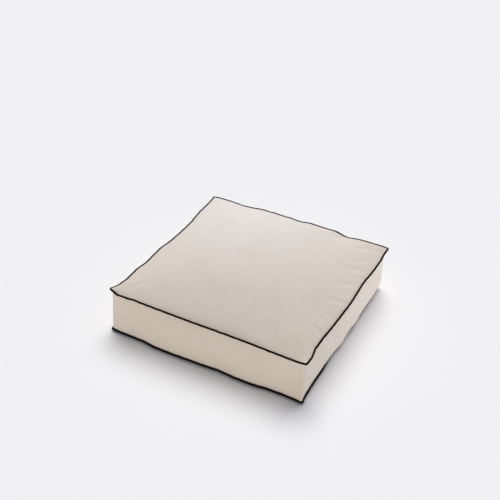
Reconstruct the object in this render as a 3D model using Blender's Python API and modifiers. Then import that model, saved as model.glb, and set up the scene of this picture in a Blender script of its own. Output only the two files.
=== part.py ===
"""Square floor cushion: a piped cover with a zip in its rear band, over a lined foam and fibre filling.

Metres, +Z up. X runs along the front edge and +Y towards the rear band. The origin is the centre of the
flat underside.
"""

import math

import bmesh
import bpy

# Sewn cover: band face to band face, and seam to seam
WIDTH = 0.600
DEPTH = 0.600
BAND_HEIGHT = 0.141

# Outline of the seams and form of the panels
INNER_CORNER_RADIUS = 0.002
CORNER_FLARE = 0.006
FLARE_SHARPNESS = 8
TOP_CROWN = 0.013
BOTTOM_DROP = 0.0045
BOTTOM_FLATNESS = 2.2
CROWN_POWER = 4
CROWN_FULLNESS = 0.55
BAND_BULGE = 0.003

# Cloth, piping and the gaps between pieces
COVER_CLOTH = 0.0010
COVER_FOLD = 0.0010
LINER_CLOTH = 0.0005
SEAM_ALLOWANCE = 0.006
PIPING_CLOTH = 0.0005
PIPING_RADIUS = 0.0025
GAP = 0.0003
LAYER_GAP = 0.0006
CORNER_GAP = 0.0005

# Filling
LINER_CLEARANCE = 0.004
SIDE_WADDING = 0.010
WADDING_RIM = 0.0115
WADDING_INNER_RADIUS = 0.0049

# Zip in the rear band
ZIP_CHAIN_END = 0.030
ZIP_CHAIN_WIDTH = 0.0064
ZIP_CHAIN_HEIGHT = 0.0016
ZIP_CHAIN_SPLIT = 0.0012
ZIP_SLOT_CLEARANCE = 0.0014
ZIP_TAPE_WIDTH = 0.0140
ZIP_TAPE_CLOTH = 0.0005
ZIP_TAPE_END = 0.012
STOP_LENGTH = 0.003

# Slider, its bridge and the pull tab that hangs on it
SLIDER_LENGTH = 0.011
SLIDER_LIP = 0.0011
SLIDER_PLATE = 0.0011
SLIDER_EDGE = 0.0002
NECK_LENGTH = 0.0024
BRIDGE_LENGTH = 0.0084
BRIDGE_WIDTH = 0.0016
BRIDGE_BAR = 0.0010
BRIDGE_PLAY = 0.0005
TAB_LENGTH = 0.026
TAB_THICKNESS = 0.0012
TAB_ARM = 0.0013
TAB_SIDE_PLAY = 0.0014
TAB_END_PLAY = 0.002
TAB_HOLE_RADIUS = 0.0013
TAB_HOLE_FROM_END = 0.0045

# Care label
LABEL_WIDTH = 0.030
LABEL_HEIGHT = 0.040
LABEL_CLOTH = 0.0003
LABEL_FROM_CORNER = 0.120

# Steps of the meshes
COVER_STEPS = 8
FILLING_STEPS = 8
BAND_ROWS = 4
PIPING_STEPS = 6
CORNER_ANGLES = (15, 30, 45)

# Outlines that follow: the allowance and the wadding have to turn their corners inside the seam
CORNER_RADIUS = SEAM_ALLOWANCE + INNER_CORNER_RADIUS
LINER_INSET = SEAM_ALLOWANCE + LINER_CLEARANCE
WADDING_RADIUS = WADDING_INNER_RADIUS + SIDE_WADDING
LINER_RADIUS = WADDING_RADIUS + LAYER_GAP + LINER_CLOTH

# Heights that follow from the sizes above
FLANGE_HALF = PIPING_CLOTH + GAP / 2
SEAM_STACK = FLANGE_HALF + GAP
BOTTOM_SEAM = BOTTOM_DROP + COVER_CLOTH + SEAM_STACK
TOP_SEAM = BOTTOM_SEAM + BAND_HEIGHT
BAND_BASE = BOTTOM_SEAM + SEAM_STACK
BAND_TOP = TOP_SEAM - SEAM_STACK
MID_HEIGHT = (BOTTOM_SEAM + TOP_SEAM) / 2
TOP_RIM = TOP_SEAM + SEAM_STACK + COVER_CLOTH
LINER_TOP_RIM = TOP_RIM - COVER_CLOTH - LAYER_GAP
LINER_BASE = COVER_CLOTH + LAYER_GAP
WADDING_TOP_RIM = LINER_TOP_RIM - LINER_CLOTH - LAYER_GAP
WADDING_BASE = LINER_BASE + LINER_CLOTH + LAYER_GAP
FOAM_TOP = WADDING_TOP_RIM - WADDING_RIM - GAP
FOAM_BASE = WADDING_BASE + BOTTOM_DROP + WADDING_RIM + GAP

# Depths of the zip's layers behind the rear band's face
TAPE_FACE = DEPTH / 2 - COVER_CLOTH - GAP
TAPE_BACK = TAPE_FACE - ZIP_TAPE_CLOTH
CHAIN_BACK = TAPE_FACE + GAP
CHAIN_FACE = CHAIN_BACK + ZIP_CHAIN_HEIGHT
PLATE_FACE = CHAIN_FACE + GAP + SLIDER_PLATE

# Widths and places that follow along the zip
ZIP_CHAIN_HALF = WIDTH / 2 - ZIP_CHAIN_END
SLIDER_START = ZIP_CHAIN_HALF - SLIDER_LENGTH / 2
SLIDER_WIDTH = ZIP_CHAIN_WIDTH + 2 * (GAP + SLIDER_LIP)
ZIP_SLOT = SLIDER_WIDTH + 2 * ZIP_SLOT_CLEARANCE
BRIDGE_CLEARANCE = math.hypot(TAB_THICKNESS, TAB_THICKNESS) + 2 * BRIDGE_PLAY
TAB_WIDTH = BRIDGE_WIDTH + 2 * (TAB_SIDE_PLAY + TAB_ARM)
TAB_WINDOW_END = BRIDGE_LENGTH / 2 + TAB_END_PLAY

# Insets of the filling's layers from the band's face
WADDING_INSET = LINER_INSET + LINER_CLOTH + LAYER_GAP
FOAM_INSET = WADDING_INSET + SIDE_WADDING + LAYER_GAP

# Each band's end of the unit square, and the fraction's place on it
SIDES = {
    "front": lambda s: (s, -1),
    "right": lambda s: (1, s),
    "rear": lambda s: (-s, 1),
    "left": lambda s: (-1, -s),
}


def make_material(name, colour, roughness, metallic=0.0):
    """A Principled material of one colour."""
    material = bpy.data.materials.new(name)
    material.use_nodes = True
    shader = material.node_tree.nodes["Principled BSDF"]
    shader.inputs["Base Color"].default_value = (*colour, 1)
    shader.inputs["Roughness"].default_value = roughness
    shader.inputs["Metallic"].default_value = metallic
    return material


def make_collection(name):
    """A collection in the scene."""
    collection = bpy.data.collections.new(name)
    bpy.context.scene.collection.children.link(collection)
    return collection


def clear_scene():
    """Take out every object that the scene starts with."""
    for thing in list(bpy.data.objects):
        bpy.data.objects.remove(thing, do_unlink=True)


def add_object(name, data, material, collection, place=(0, 0, 0)):
    """A named object with one material, at its place."""
    thing = bpy.data.objects.new(name, data)
    thing.location = place
    if material:
        data.materials.append(material)
    collection.objects.link(thing)
    return thing


def outline(u, v, inset=0.0, radius=CORNER_RADIUS, flare=CORNER_FLARE):
    """Where a point of the square from -1 to 1 lies on the cushion, with corners rounded and drawn out."""
    half_x = WIDTH / 2 - inset
    half_y = DEPTH / 2 - inset
    past_x = (abs(u) * half_x - half_x + radius) / radius
    past_y = (abs(v) * half_y - half_y + radius) / radius
    x = abs(u) * half_x
    y = abs(v) * half_y
    if past_x > 0 and past_y > 0:
        shrink = max(past_x, past_y) / math.hypot(past_x, past_y)
        x = half_x - radius + radius * past_x * shrink
        y = half_y - radius + radius * past_y * shrink
    x += flare * abs(u) * abs(v) ** FLARE_SHARPNESS
    y += flare * abs(v) * abs(u) ** FLARE_SHARPNESS
    return math.copysign(x, u), math.copysign(y, v)


def side_fractions(half, radius, steps, end_gap=0.0):
    """Fractions from -1 to 1 along one side: closer near its ends, then round half of each corner."""
    straight = 1 - radius / half
    middle = [straight * math.sin(math.pi * (step / steps - 0.5)) for step in range(steps + 1)]
    last = CORNER_ANGLES[-1] - math.degrees(end_gap / radius)
    angles = [*CORNER_ANGLES[:-1], last]
    turn = [straight + (1 - straight) * math.tan(math.radians(angle)) for angle in angles]
    return [-fraction for fraction in reversed(turn)] + middle + turn


def crown(x, y, inset, fullness=CROWN_FULLNESS):
    """From 0 at a panel's rim to 1 at its centre, rising fast near the rim."""
    along = max(0.0, 1 - (abs(x) / (WIDTH / 2 - inset)) ** CROWN_POWER)
    across = max(0.0, 1 - (abs(y) / (DEPTH / 2 - inset)) ** CROWN_POWER)
    return (along * across) ** fullness


def top_height(x, y, inset):
    """Height of the top panel over its rim."""
    return TOP_CROWN * crown(x, y, inset)


def bottom_height(x, y, inset):
    """Height of the underside, which is flat except near its rim."""
    return BOTTOM_DROP * (1 - min(1.0, BOTTOM_FLATNESS * crown(x, y, inset)))


def grid_mesh(name, columns, rows, place):
    """An open sheet of cells, with each of its points where place(column, row) puts it."""
    shape = bmesh.new()
    bmesh.ops.create_grid(shape, x_segments=columns, y_segments=rows, size=0.5)
    for vertex in shape.verts:
        column = round((vertex.co.x + 0.5) * columns)
        row = round((vertex.co.y + 0.5) * rows)
        vertex.co = place(column, row)
    mesh = bpy.data.meshes.new(name)
    shape.to_mesh(mesh)
    shape.free()
    return mesh


def thicken(thing, thickness, offset):
    """Give an open sheet its thickness: offset -1 goes behind its face, 1 in front of it."""
    solid = thing.modifiers.new("cloth", "SOLIDIFY")
    solid.thickness = thickness
    solid.offset = offset
    solid.use_even_offset = True


def shade_round(thing, angle=40):
    """Smooth shading, with edges over the angle kept sharp."""
    thing.data.shade_smooth()
    thing.data.set_sharp_from_angle(angle=math.radians(angle))


def panel_place(inset, radius, flare, steps, height):
    """The place function and the cell count of a horizontal panel whose height is height(x, y, inset)."""
    fractions_x = side_fractions(WIDTH / 2 - inset, radius, steps)
    fractions_y = side_fractions(DEPTH / 2 - inset, radius, steps)

    def place(column, row):
        x, y = outline(fractions_x[column], fractions_y[row], inset, radius, flare)
        return x, y, height(x, y, inset)

    return place, len(fractions_x) - 1


def add_panel(name, inset, radius, flare, steps, height, thickness, offset, material, collection):
    """A cloth panel that lies over or under the filling."""
    place, cells = panel_place(inset, radius, flare, steps, height)
    panel = add_object(name, grid_mesh(name, cells, cells, place), material, collection)
    thicken(panel, thickness, offset)
    shade_round(panel)
    return panel


def add_slab(name, height, flat, material, collection):
    """A layer of wadding between its shaped face and a flat one."""
    place, cells = panel_place(WADDING_INSET, WADDING_RADIUS, 0, FILLING_STEPS, height)
    mesh = grid_mesh(name, cells, cells, place)
    shape = bmesh.new()
    shape.from_mesh(mesh)
    grown = bmesh.ops.extrude_face_region(shape, geom=shape.faces[:])
    for vertex in grown["geom"]:
        if isinstance(vertex, bmesh.types.BMVert):
            vertex.co.z = flat
    bmesh.ops.recalc_face_normals(shape, faces=shape.faces[:])
    shape.to_mesh(mesh)
    shape.free()
    slab = add_object(name, mesh, material, collection)
    shade_round(slab)
    return slab


def band_rows(low, high, fold_low, fold_high):
    """Rows of a band from low to high as (inset, height, w), with a turned-in allowance at a folded end."""
    rows = []
    start = low
    end = high
    if fold_low:
        rows += [(SEAM_ALLOWANCE, low), (COVER_FOLD, low)]
        start = low + COVER_FOLD
    if fold_high:
        end = high - COVER_FOLD
    rows += [(0.0, start + (end - start) * step / BAND_ROWS) for step in range(BAND_ROWS + 1)]
    if fold_high:
        rows += [(COVER_FOLD, high), (SEAM_ALLOWANCE, high)]
    return [(inset, z, (z - MID_HEIGHT) / (BAND_HEIGHT / 2)) for inset, z in rows]


def add_band(name, side, rows, bulge, material, collection):
    """One band of the cover, or a strip of it, with its seam allowances turned in."""
    along = WIDTH if side in ("front", "rear") else DEPTH
    cells = len(side_fractions(along / 2, CORNER_RADIUS, COVER_STEPS)) - 1

    def place(column, row):
        inset, z, w = rows[row]
        radius = CORNER_RADIUS - inset
        end_gap = CORNER_GAP * radius / CORNER_RADIUS
        fraction = side_fractions(along / 2 - inset, radius, COVER_STEPS, end_gap)[column]
        swell = bulge * max(0.0, 1 - w**2) * (1 - fraction**2)
        flare = CORNER_FLARE * min(1.0, abs(w)) ** CROWN_POWER
        x, y = outline(*SIDES[side](fraction), inset - swell, radius, flare)
        return x, y, z

    band = add_object(name, grid_mesh(name, cells, len(rows) - 1, place), material, collection)
    thicken(band, COVER_CLOTH, -1)
    shade_round(band)
    return band


def arc(radius, start, end, steps):
    """Points of an arc round the origin, its angles in degrees."""
    angles = [math.radians(start + (end - start) * step / steps) for step in range(steps + 1)]
    return [(radius * math.cos(angle), radius * math.sin(angle)) for angle in angles]


def add_loop(curve, points):
    """A closed loop of straight runs through the points, added to a curve."""
    spline = curve.splines.new("POLY")
    spline.points.add(len(points) - 1)
    for point, target in zip(spline.points, points):
        point.co = (*target, 1)
    spline.use_cyclic_u = True


def add_ring(name, profile, z, inset, radius, flare, material, collection, guides):
    """A closed ring: the profile, as (outwards, upwards) points, carried round the cushion's outline."""
    path = []
    for side, along in (("front", WIDTH), ("right", DEPTH), ("rear", WIDTH), ("left", DEPTH)):
        fractions = side_fractions(along / 2 - inset, radius, COVER_STEPS)[:-1]
        path += [(*outline(*SIDES[side](fraction), inset, radius, flare), z) for fraction in fractions]
    section = bpy.data.curves.new(name + "_section", "CURVE")
    section.dimensions = "2D"
    section.fill_mode = "NONE"
    add_loop(section, [(out, up, 0) for out, up in reversed(profile)])
    guide = add_object(name + "_section", section, None, guides)
    guide.hide_render = True
    guide.display_type = "WIRE"
    curve = bpy.data.curves.new(name, "CURVE")
    curve.dimensions = "3D"
    add_loop(curve, path)
    curve.twist_mode = "Z_UP"
    curve.bevel_mode = "OBJECT"
    curve.bevel_object = guide
    return add_object(name, curve, material, collection)


def sleeve_profile():
    """Section of the piping's bias strip: round the cord, with both its plies run in as a flange."""
    centre = PIPING_RADIUS + GAP
    inner = PIPING_RADIUS - PIPING_CLOTH
    outer_angle = 180 - math.degrees(math.asin(FLANGE_HALF / PIPING_RADIUS))
    inner_angle = 180 - math.degrees(math.asin(GAP / 2 / inner))
    outside = [(centre + x, z) for x, z in arc(PIPING_RADIUS, -outer_angle, outer_angle, PIPING_STEPS + 2)]
    inside = [(centre + x, z) for x, z in arc(inner, inner_angle, -inner_angle, PIPING_STEPS)]
    upper = [(-SEAM_ALLOWANCE, FLANGE_HALF), (-SEAM_ALLOWANCE, GAP / 2)]
    lower = [(-SEAM_ALLOWANCE, -GAP / 2), (-SEAM_ALLOWANCE, -FLANGE_HALF)]
    return outside + upper + inside + lower


def cord_profile():
    """Section of the piping's filler cord, in the middle of its sleeve."""
    centre = PIPING_RADIUS + GAP
    radius = PIPING_RADIUS - PIPING_CLOTH - GAP
    return [(centre + x, z) for x, z in arc(radius, 0, 360, PIPING_STEPS)[:-1]]


def box_profile(thickness, low, high):
    """Section of an upright wall, its outer face on the path."""
    return [(-thickness, low), (0, low), (0, high), (-thickness, high)]


def block(shape, low, high):
    """Add a box to a bmesh between two corners."""
    made = bmesh.ops.create_cube(shape, size=1)
    for vertex in made["verts"]:
        vertex.co = [low[i] + (vertex.co[i] + 0.5) * (high[i] - low[i]) for i in range(3)]


def add_box(name, low, high, material, collection, bevel=0.0):
    """A box between two corners, its origin at the middle of its own size."""
    centre = [(low[i] + high[i]) / 2 for i in range(3)]
    shape = bmesh.new()
    block(shape, [low[i] - centre[i] for i in range(3)], [high[i] - centre[i] for i in range(3)])
    mesh = bpy.data.meshes.new(name)
    shape.to_mesh(mesh)
    shape.free()
    box = add_object(name, mesh, material, collection, centre)
    if bevel:
        rounding = box.modifiers.new("edges", "BEVEL")
        rounding.width = bevel
        rounding.segments = 3
        shade_round(box)
    return box


def join_block(target, name, low, high, cutters):
    """Join a box to the target by a Boolean union."""
    joiner = add_box(name, low, high, None, cutters)
    joiner.hide_render = True
    joiner.display_type = "WIRE"
    union = target.modifiers.new(name, "BOOLEAN")
    union.operation = "UNION"
    union.solver = "EXACT"
    union.object = joiner


def add_cover(cloth, collection):
    """The beige cover: two panels and four bands, the rear one in two strips."""
    add_panel(
        "cover_top_panel", 0, CORNER_RADIUS, CORNER_FLARE, COVER_STEPS,
        lambda x, y, inset: TOP_RIM + top_height(x, y, inset), COVER_CLOTH, -1, cloth, collection,
    )
    add_panel(
        "cover_bottom_panel", 0, CORNER_RADIUS, CORNER_FLARE, COVER_STEPS,
        bottom_height, COVER_CLOTH, 1, cloth, collection,
    )
    whole = band_rows(BAND_BASE, BAND_TOP, True, True)
    for side in ("front", "right", "left"):
        add_band("cover_band_" + side, side, whole, BAND_BULGE, cloth, collection)
    lower = band_rows(BAND_BASE, MID_HEIGHT - ZIP_SLOT / 2, True, False)
    upper = band_rows(MID_HEIGHT + ZIP_SLOT / 2, BAND_TOP, False, True)
    add_band("cover_band_rear_lower", "rear", lower, 0, cloth, collection)
    add_band("cover_band_rear_upper", "rear", upper, 0, cloth, collection)


def add_piping(bias, cord, collection, guides):
    """A corded piping round the top seam and another round the bottom seam."""
    for level, z in (("top", TOP_SEAM), ("bottom", BOTTOM_SEAM)):
        shape = (z, 0, CORNER_RADIUS, CORNER_FLARE)
        add_ring("piping_sleeve_" + level, sleeve_profile(), *shape, bias, collection, guides)
        add_ring("piping_cord_" + level, cord_profile(), *shape, cord, collection, guides)


def add_zip(tape, coil, metal, collection):
    """The zip's two tapes, two halves of its chain, and its end stops."""
    half_tape = WIDTH / 2 - ZIP_TAPE_END
    half_chain = ZIP_CHAIN_HALF
    near = ZIP_CHAIN_SPLIT / 2
    stop = half_chain + GAP
    for level, up in (("upper", 1), ("lower", -1)):
        tape_edges = sorted((MID_HEIGHT + up * near, MID_HEIGHT + up * (near + ZIP_TAPE_WIDTH)))
        chain_edges = sorted((MID_HEIGHT + up * near, MID_HEIGHT + up * ZIP_CHAIN_WIDTH / 2))
        add_box(
            "zip_tape_" + level, (-half_tape, TAPE_BACK, tape_edges[0]),
            (half_tape, TAPE_FACE, tape_edges[1]), tape, collection,
        )
        add_box(
            "zip_chain_" + level, (-half_chain, CHAIN_BACK, chain_edges[0]),
            (half_chain, CHAIN_FACE, chain_edges[1]), coil, collection,
        )
        add_box(
            "zip_top_stop_" + level, (stop, CHAIN_BACK, chain_edges[0]),
            (stop + STOP_LENGTH, CHAIN_FACE, chain_edges[1]), metal, collection, SLIDER_EDGE,
        )
    add_box(
        "zip_bottom_stop", (-stop - STOP_LENGTH, CHAIN_BACK, MID_HEIGHT - ZIP_CHAIN_WIDTH / 2),
        (-stop, CHAIN_FACE, MID_HEIGHT + ZIP_CHAIN_WIDTH / 2), metal, collection, SLIDER_EDGE,
    )


def add_slider(metal, collection, cutters):
    """The slider: two plates and lips round the chain, a neck between its halves, a bridge over the top."""
    x = SLIDER_START
    end = SLIDER_LENGTH / 2
    half = SLIDER_WIDTH / 2
    channel = ZIP_CHAIN_WIDTH / 2 + GAP
    neck = ZIP_CHAIN_SPLIT / 2 - GAP
    under_plate = CHAIN_FACE + GAP
    back_plate = TAPE_BACK - GAP
    bridge_top = PLATE_FACE + BRIDGE_CLEARANCE + BRIDGE_BAR
    leg = BRIDGE_LENGTH / 2
    slider = add_box(
        "zip_slider", (x - end, under_plate, MID_HEIGHT - half), (x + end, PLATE_FACE, MID_HEIGHT + half),
        metal, collection,
    )
    for name, sign in (("slider_lip_upper", 1), ("slider_lip_lower", -1)):
        edges = sorted((MID_HEIGHT + sign * channel, MID_HEIGHT + sign * half))
        low = (x - end, TAPE_FACE + GAP, edges[0])
        high = (x + end, under_plate + SLIDER_PLATE / 2, edges[1])
        join_block(slider, name, low, high, cutters)
    join_block(
        slider, "slider_neck", (x + end - NECK_LENGTH, back_plate - SLIDER_PLATE / 2, MID_HEIGHT - neck),
        (x + end, under_plate + SLIDER_PLATE / 2, MID_HEIGHT + neck), cutters,
    )
    join_block(
        slider, "slider_back_plate", (x - end, back_plate - SLIDER_PLATE, MID_HEIGHT - half),
        (x + end, back_plate, MID_HEIGHT + half), cutters,
    )
    for name, sign in (("slider_leg_front", 1), ("slider_leg_rear", -1)):
        ends = sorted((x + sign * (leg - BRIDGE_BAR), x + sign * leg))
        low = (ends[0], PLATE_FACE - SLIDER_PLATE / 2, MID_HEIGHT - BRIDGE_WIDTH / 2)
        high = (ends[1], bridge_top - BRIDGE_BAR / 2, MID_HEIGHT + BRIDGE_WIDTH / 2)
        join_block(slider, name, low, high, cutters)
    join_block(
        slider, "slider_bridge", (x - leg, bridge_top - BRIDGE_BAR, MID_HEIGHT - BRIDGE_WIDTH / 2),
        (x + leg, bridge_top, MID_HEIGHT + BRIDGE_WIDTH / 2), cutters,
    )
    return slider


def rounded_rectangle(left, right, half, radius):
    """Points round a flat rectangle with round corners."""
    corners = ((right, half, 0), (left, half, 90), (left, -half, 180), (right, -half, 270))
    points = []
    for x, z, start in corners:
        inner_x = x - math.copysign(radius, x - (left + right) / 2)
        inner_z = z - math.copysign(radius, z)
        points += [(inner_x + dx, inner_z + dz) for dx, dz in arc(radius, start, start + 90, 3)]
    return points


def add_pull_tab(metal, slider, collection):
    """The pull tab, its cross bar under the bridge, its origin on the axis that it turns about."""
    bar = TAB_THICKNESS / 2
    end = bar - TAB_LENGTH
    rim = rounded_rectangle(end, bar, TAB_WIDTH / 2, bar)
    window = rounded_rectangle(-TAB_WINDOW_END, -bar, TAB_WIDTH / 2 - TAB_ARM, bar)
    hole_x = end + TAB_HOLE_FROM_END
    hole = [(hole_x + x, z) for x, z in arc(TAB_HOLE_RADIUS, 0, 360, 12)[:-1]]
    curve = bpy.data.curves.new("zip_pull_tab", "CURVE")
    curve.dimensions = "2D"
    curve.fill_mode = "BOTH"
    for points in (rim, window, hole):
        add_loop(curve, [(x, z, 0) for x, z in points])
    curve.extrude = bar
    pivot = (SLIDER_START, PLATE_FACE + BRIDGE_CLEARANCE / 2, MID_HEIGHT)
    place = [pivot[i] - slider.location[i] for i in range(3)]
    tab = add_object("zip_pull_tab", curve, metal, collection, place)
    tab.parent = slider
    tab.rotation_euler = (math.pi / 2, 0, 0)


def add_label(satin, collection):
    """A blank care label, sewn into the bottom seam on the inner side of the rear band."""
    face = DEPTH / 2 - COVER_CLOTH - GAP
    base = BAND_BASE + COVER_CLOTH + GAP
    middle = WIDTH / 2 - LABEL_FROM_CORNER
    add_box(
        "care_label", (middle - LABEL_WIDTH / 2, face - LABEL_CLOTH, base),
        (middle + LABEL_WIDTH / 2, face, base + LABEL_HEIGHT), satin, collection,
    )


def add_filling(liner, fibre, foam, collection, guides):
    """The inner cushion: a lining bag, wadding on all sides and a foam block."""
    add_panel(
        "liner_top_panel", LINER_INSET, LINER_RADIUS, 0, FILLING_STEPS,
        lambda x, y, inset: LINER_TOP_RIM + top_height(x, y, inset), LINER_CLOTH, -1, liner, collection,
    )
    add_panel(
        "liner_bottom_panel", LINER_INSET, LINER_RADIUS, 0, FILLING_STEPS,
        lambda x, y, inset: LINER_BASE + bottom_height(x, y, inset), LINER_CLOTH, 1, liner, collection,
    )
    band_low = LINER_BASE + BOTTOM_DROP + LINER_CLOTH + GAP
    band_high = LINER_TOP_RIM - LINER_CLOTH - GAP
    add_ring(
        "liner_band", box_profile(LINER_CLOTH, band_low, band_high), 0, LINER_INSET, LINER_RADIUS, 0,
        liner, collection, guides,
    )
    add_slab(
        "wadding_top", lambda x, y, inset: WADDING_TOP_RIM + top_height(x, y, inset), FOAM_TOP + GAP,
        fibre, collection,
    )
    add_slab(
        "wadding_bottom", lambda x, y, inset: WADDING_BASE + bottom_height(x, y, inset), FOAM_BASE - GAP,
        fibre, collection,
    )
    add_ring(
        "wadding_band", box_profile(SIDE_WADDING, FOAM_BASE, FOAM_TOP), 0, WADDING_INSET,
        WADDING_RADIUS, 0, fibre, collection, guides,
    )
    half_x = WIDTH / 2 - FOAM_INSET
    half_y = DEPTH / 2 - FOAM_INSET
    edge = WADDING_INNER_RADIUS - LAYER_GAP
    add_box("foam_core", (-half_x, -half_y, FOAM_BASE), (half_x, half_y, FOAM_TOP), foam, collection, edge)


def build_cushion():
    """Make every piece of the cushion."""
    clear_scene()
    collection = make_collection("floor_cushion")
    cutters = make_collection("floor_cushion_cutters")
    add_cover(make_material("beige_weave", (0.66, 0.59, 0.51), 0.9), collection)
    bias = make_material("black_bias_tape", (0.008, 0.007, 0.006), 0.75)
    cord = make_material("cotton_filler_cord", (0.75, 0.72, 0.65), 0.9)
    add_piping(bias, cord, collection, cutters)
    tape = make_material("zip_tape_weave", (0.60, 0.53, 0.45), 0.8)
    coil = make_material("nylon_zip_coil", (0.58, 0.51, 0.43), 0.4)
    metal = make_material("zip_metal", (0.62, 0.60, 0.56), 0.3, 1.0)
    add_zip(tape, coil, metal, collection)
    add_pull_tab(metal, add_slider(metal, collection, cutters), collection)
    add_label(make_material("satin_label", (0.85, 0.84, 0.80), 0.45), collection)
    liner = make_material("cotton_lining", (0.80, 0.78, 0.72), 0.85)
    fibre = make_material("polyester_fibre", (0.88, 0.88, 0.86), 0.95)
    foam = make_material("cut_foam", (0.80, 0.72, 0.45), 0.95)
    add_filling(liner, fibre, foam, collection, cutters)


build_cushion()
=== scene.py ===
import math

import bpy
import numpy as np
from mathutils import Matrix, Vector


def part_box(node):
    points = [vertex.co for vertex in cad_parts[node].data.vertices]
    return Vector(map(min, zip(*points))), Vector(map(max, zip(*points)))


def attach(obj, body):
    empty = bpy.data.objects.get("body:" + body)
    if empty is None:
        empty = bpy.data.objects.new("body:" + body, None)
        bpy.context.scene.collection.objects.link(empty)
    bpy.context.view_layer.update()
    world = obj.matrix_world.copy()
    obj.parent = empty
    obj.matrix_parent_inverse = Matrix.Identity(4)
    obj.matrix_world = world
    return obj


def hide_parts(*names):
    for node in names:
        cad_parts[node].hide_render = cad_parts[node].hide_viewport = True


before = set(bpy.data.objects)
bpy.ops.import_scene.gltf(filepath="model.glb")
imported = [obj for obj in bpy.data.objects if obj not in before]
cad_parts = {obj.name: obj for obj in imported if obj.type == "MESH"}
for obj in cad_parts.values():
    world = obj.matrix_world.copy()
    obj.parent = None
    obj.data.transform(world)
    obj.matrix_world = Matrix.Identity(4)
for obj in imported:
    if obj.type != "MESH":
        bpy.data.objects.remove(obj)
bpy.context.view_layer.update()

mm = 0.001
panelSide, bandTall, halfTall = 612, 138, 64  # a panel, a band and half a band between their seams, in mm


def nodeBox(name):
    low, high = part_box(name)
    return np.array(low), np.array(high)


# heights and depths that the frame fixes
topPipingLow, topPipingHigh = nodeBox("piping_sleeve_top")
bottomPipingLow, bottomPipingHigh = nodeBox("piping_sleeve_bottom")
tapeLow, tapeHigh = nodeBox("zip_tape_upper")
lowerTapeLow, lowerTapeHigh = nodeBox("zip_tape_lower")
chainLow, chainHigh = nodeBox("zip_chain_upper")
lowerChainHigh = nodeBox("zip_chain_lower")[1]
foamLow, foamHigh = nodeBox("foam_core")
labelLow, labelHigh = nodeBox("care_label")
topZ = (topPipingLow[2] + topPipingHigh[2]) / 2
bottomZ = (bottomPipingLow[2] + bottomPipingHigh[2]) / 2
zipZ = (chainLow[2] + lowerChainHigh[2]) / 2
print("frame: top piping %.4f, bottom piping %.4f, zip %.4f" % (topZ, bottomZ, zipZ))

# a little over the 0.305 m half width, because the corners stand out as points
cover = {
    "tip": 0.3093,  # middle of the cushion to the piping's centre at a corner
    "seamIn": 2.7 * mm,  # panel edges sit this far inside the piping's centre
    "seamUp": 1.0 * mm,  # and this far above or below it
    "rimRise": 3 * mm,
    "crown": 20 * mm,
    "bandBulge": 3.5 * mm,
    "cloth": 0.9 * mm,
    "stripCloth": 0.6 * mm,
    "zipGap": 6 * mm,  # from the zip's line to each folded edge
    "zipDepth": tapeHigh[1] + 2.1 * mm,
    "floorGap": 0.7 * mm,
    "wave": 24 * mm,  # a seam's own waves die out over this distance
    "quickRim": 13 * mm,  # the rim rises over this distance in front and at the right
    "slowRim": 22 * mm,  # and over this one at the left and the rear
    "cornerReach": 45 * mm,  # a corner seam pulls the band over this distance
    "bandWave": 0.16,  # share of a band's height that its seams' waves reach into
    "rollOut": 13 * mm,  # how far the filling rolls the right-hand band's foot out
    "rollDown": 4.2 * mm,  # and down
    "rearBulge": 4.5 * mm,
}
sideNames = ["front", "right", "rear", "left"]
corners = np.array([(-1, -1), (1, -1), (1, 1), (-1, 1)], float)
normals = np.array([(0, -1), (1, 0), (0, 1), (-1, 0)], float)

# where the sewn lines leave the straight line between two corner points:
# share of the side, mm pulled in, mm lifted, going round from the left front corner
topDrift = {
    "front": [(0, 0, 5.5), (0.018, 0, 0.5), (0.04, 0, -6.2), (0.075, 0, -4.8), (0.1, 0, -5.6),
              (0.125, 0.3, -2.8), (0.17, 0.5, -4.2), (0.33, 0.3, -4.5), (0.42, 0.6, -4.6),
              (0.5, 1.6, -4.8), (0.6, 2.6, -4.8), (0.7, 3, -4.8), (0.83, 1.6, -4.8), (0.95, 0.5, -4.7),
              (1, 0, -1.5)],
    "right": [(0, 0, -1.5), (0.03, -0.5, -4), (0.06, 0.2, -4.5), (0.12, 6, -4.5), (0.21, 5.6, -4.5),
              (0.25, 3.6, -4.4), (0.33, 1.6, -4.2), (0.42, 0, -4), (0.49, -1, -4), (0.58, 0.8, -3.8),
              (0.67, 2.7, -3.6), (0.79, -1, -3), (0.88, -1, -3), (0.96, 1.6, -2), (1, 0, 0)],
    "rear": [(0, 0, 0), (0.04, 0.5, 1.8), (0.08, 0.8, 1.8), (0.14, 1, 1.5), (0.18, 1, -1), (0.222, 1.5, -3.8),
             (0.25, 0.8, -0.5), (0.29, 0, 5), (0.33, 0, 4.2), (0.37, -0.3, 4.4), (0.43, -0.5, 5.5),
             (0.46, 0, 3), (0.5, 0.5, 1.2), (0.54, 0, 3.4), (0.58, 0, 2.6), (0.63, 0, 3.8),
             (0.67, 0, 3), (0.7, 0, 3.4),
             (0.75, 0.5, 0.2), (0.82, 1, -3.2), (0.9, 0.5, -1), (0.96, 0, -1.5), (1, 0, -3.5)],
    "left": [(0, 0, -3.5), (0.03, 3, -3.2), (0.08, 5, -3), (0.17, 6.5, -3), (0.22, 9, -3), (0.3, 13.8, -3.4),
             (0.38, 14.5, -3.8), (0.43, 14.5, -3.8), (0.5, 12.6, -4), (0.58, 7.2, -4.3), (0.67, 9, -4.5),
             (0.71, 10.4, -4.5), (0.79, 5.3, -4.7), (0.83, 6, -4.7), (0.88, 7, -4.5), (0.93, 4.5, -3.5),
             (0.965, 1.5, -1), (0.985, 0.2, 3), (1, 0, 5.5)],
}
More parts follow.
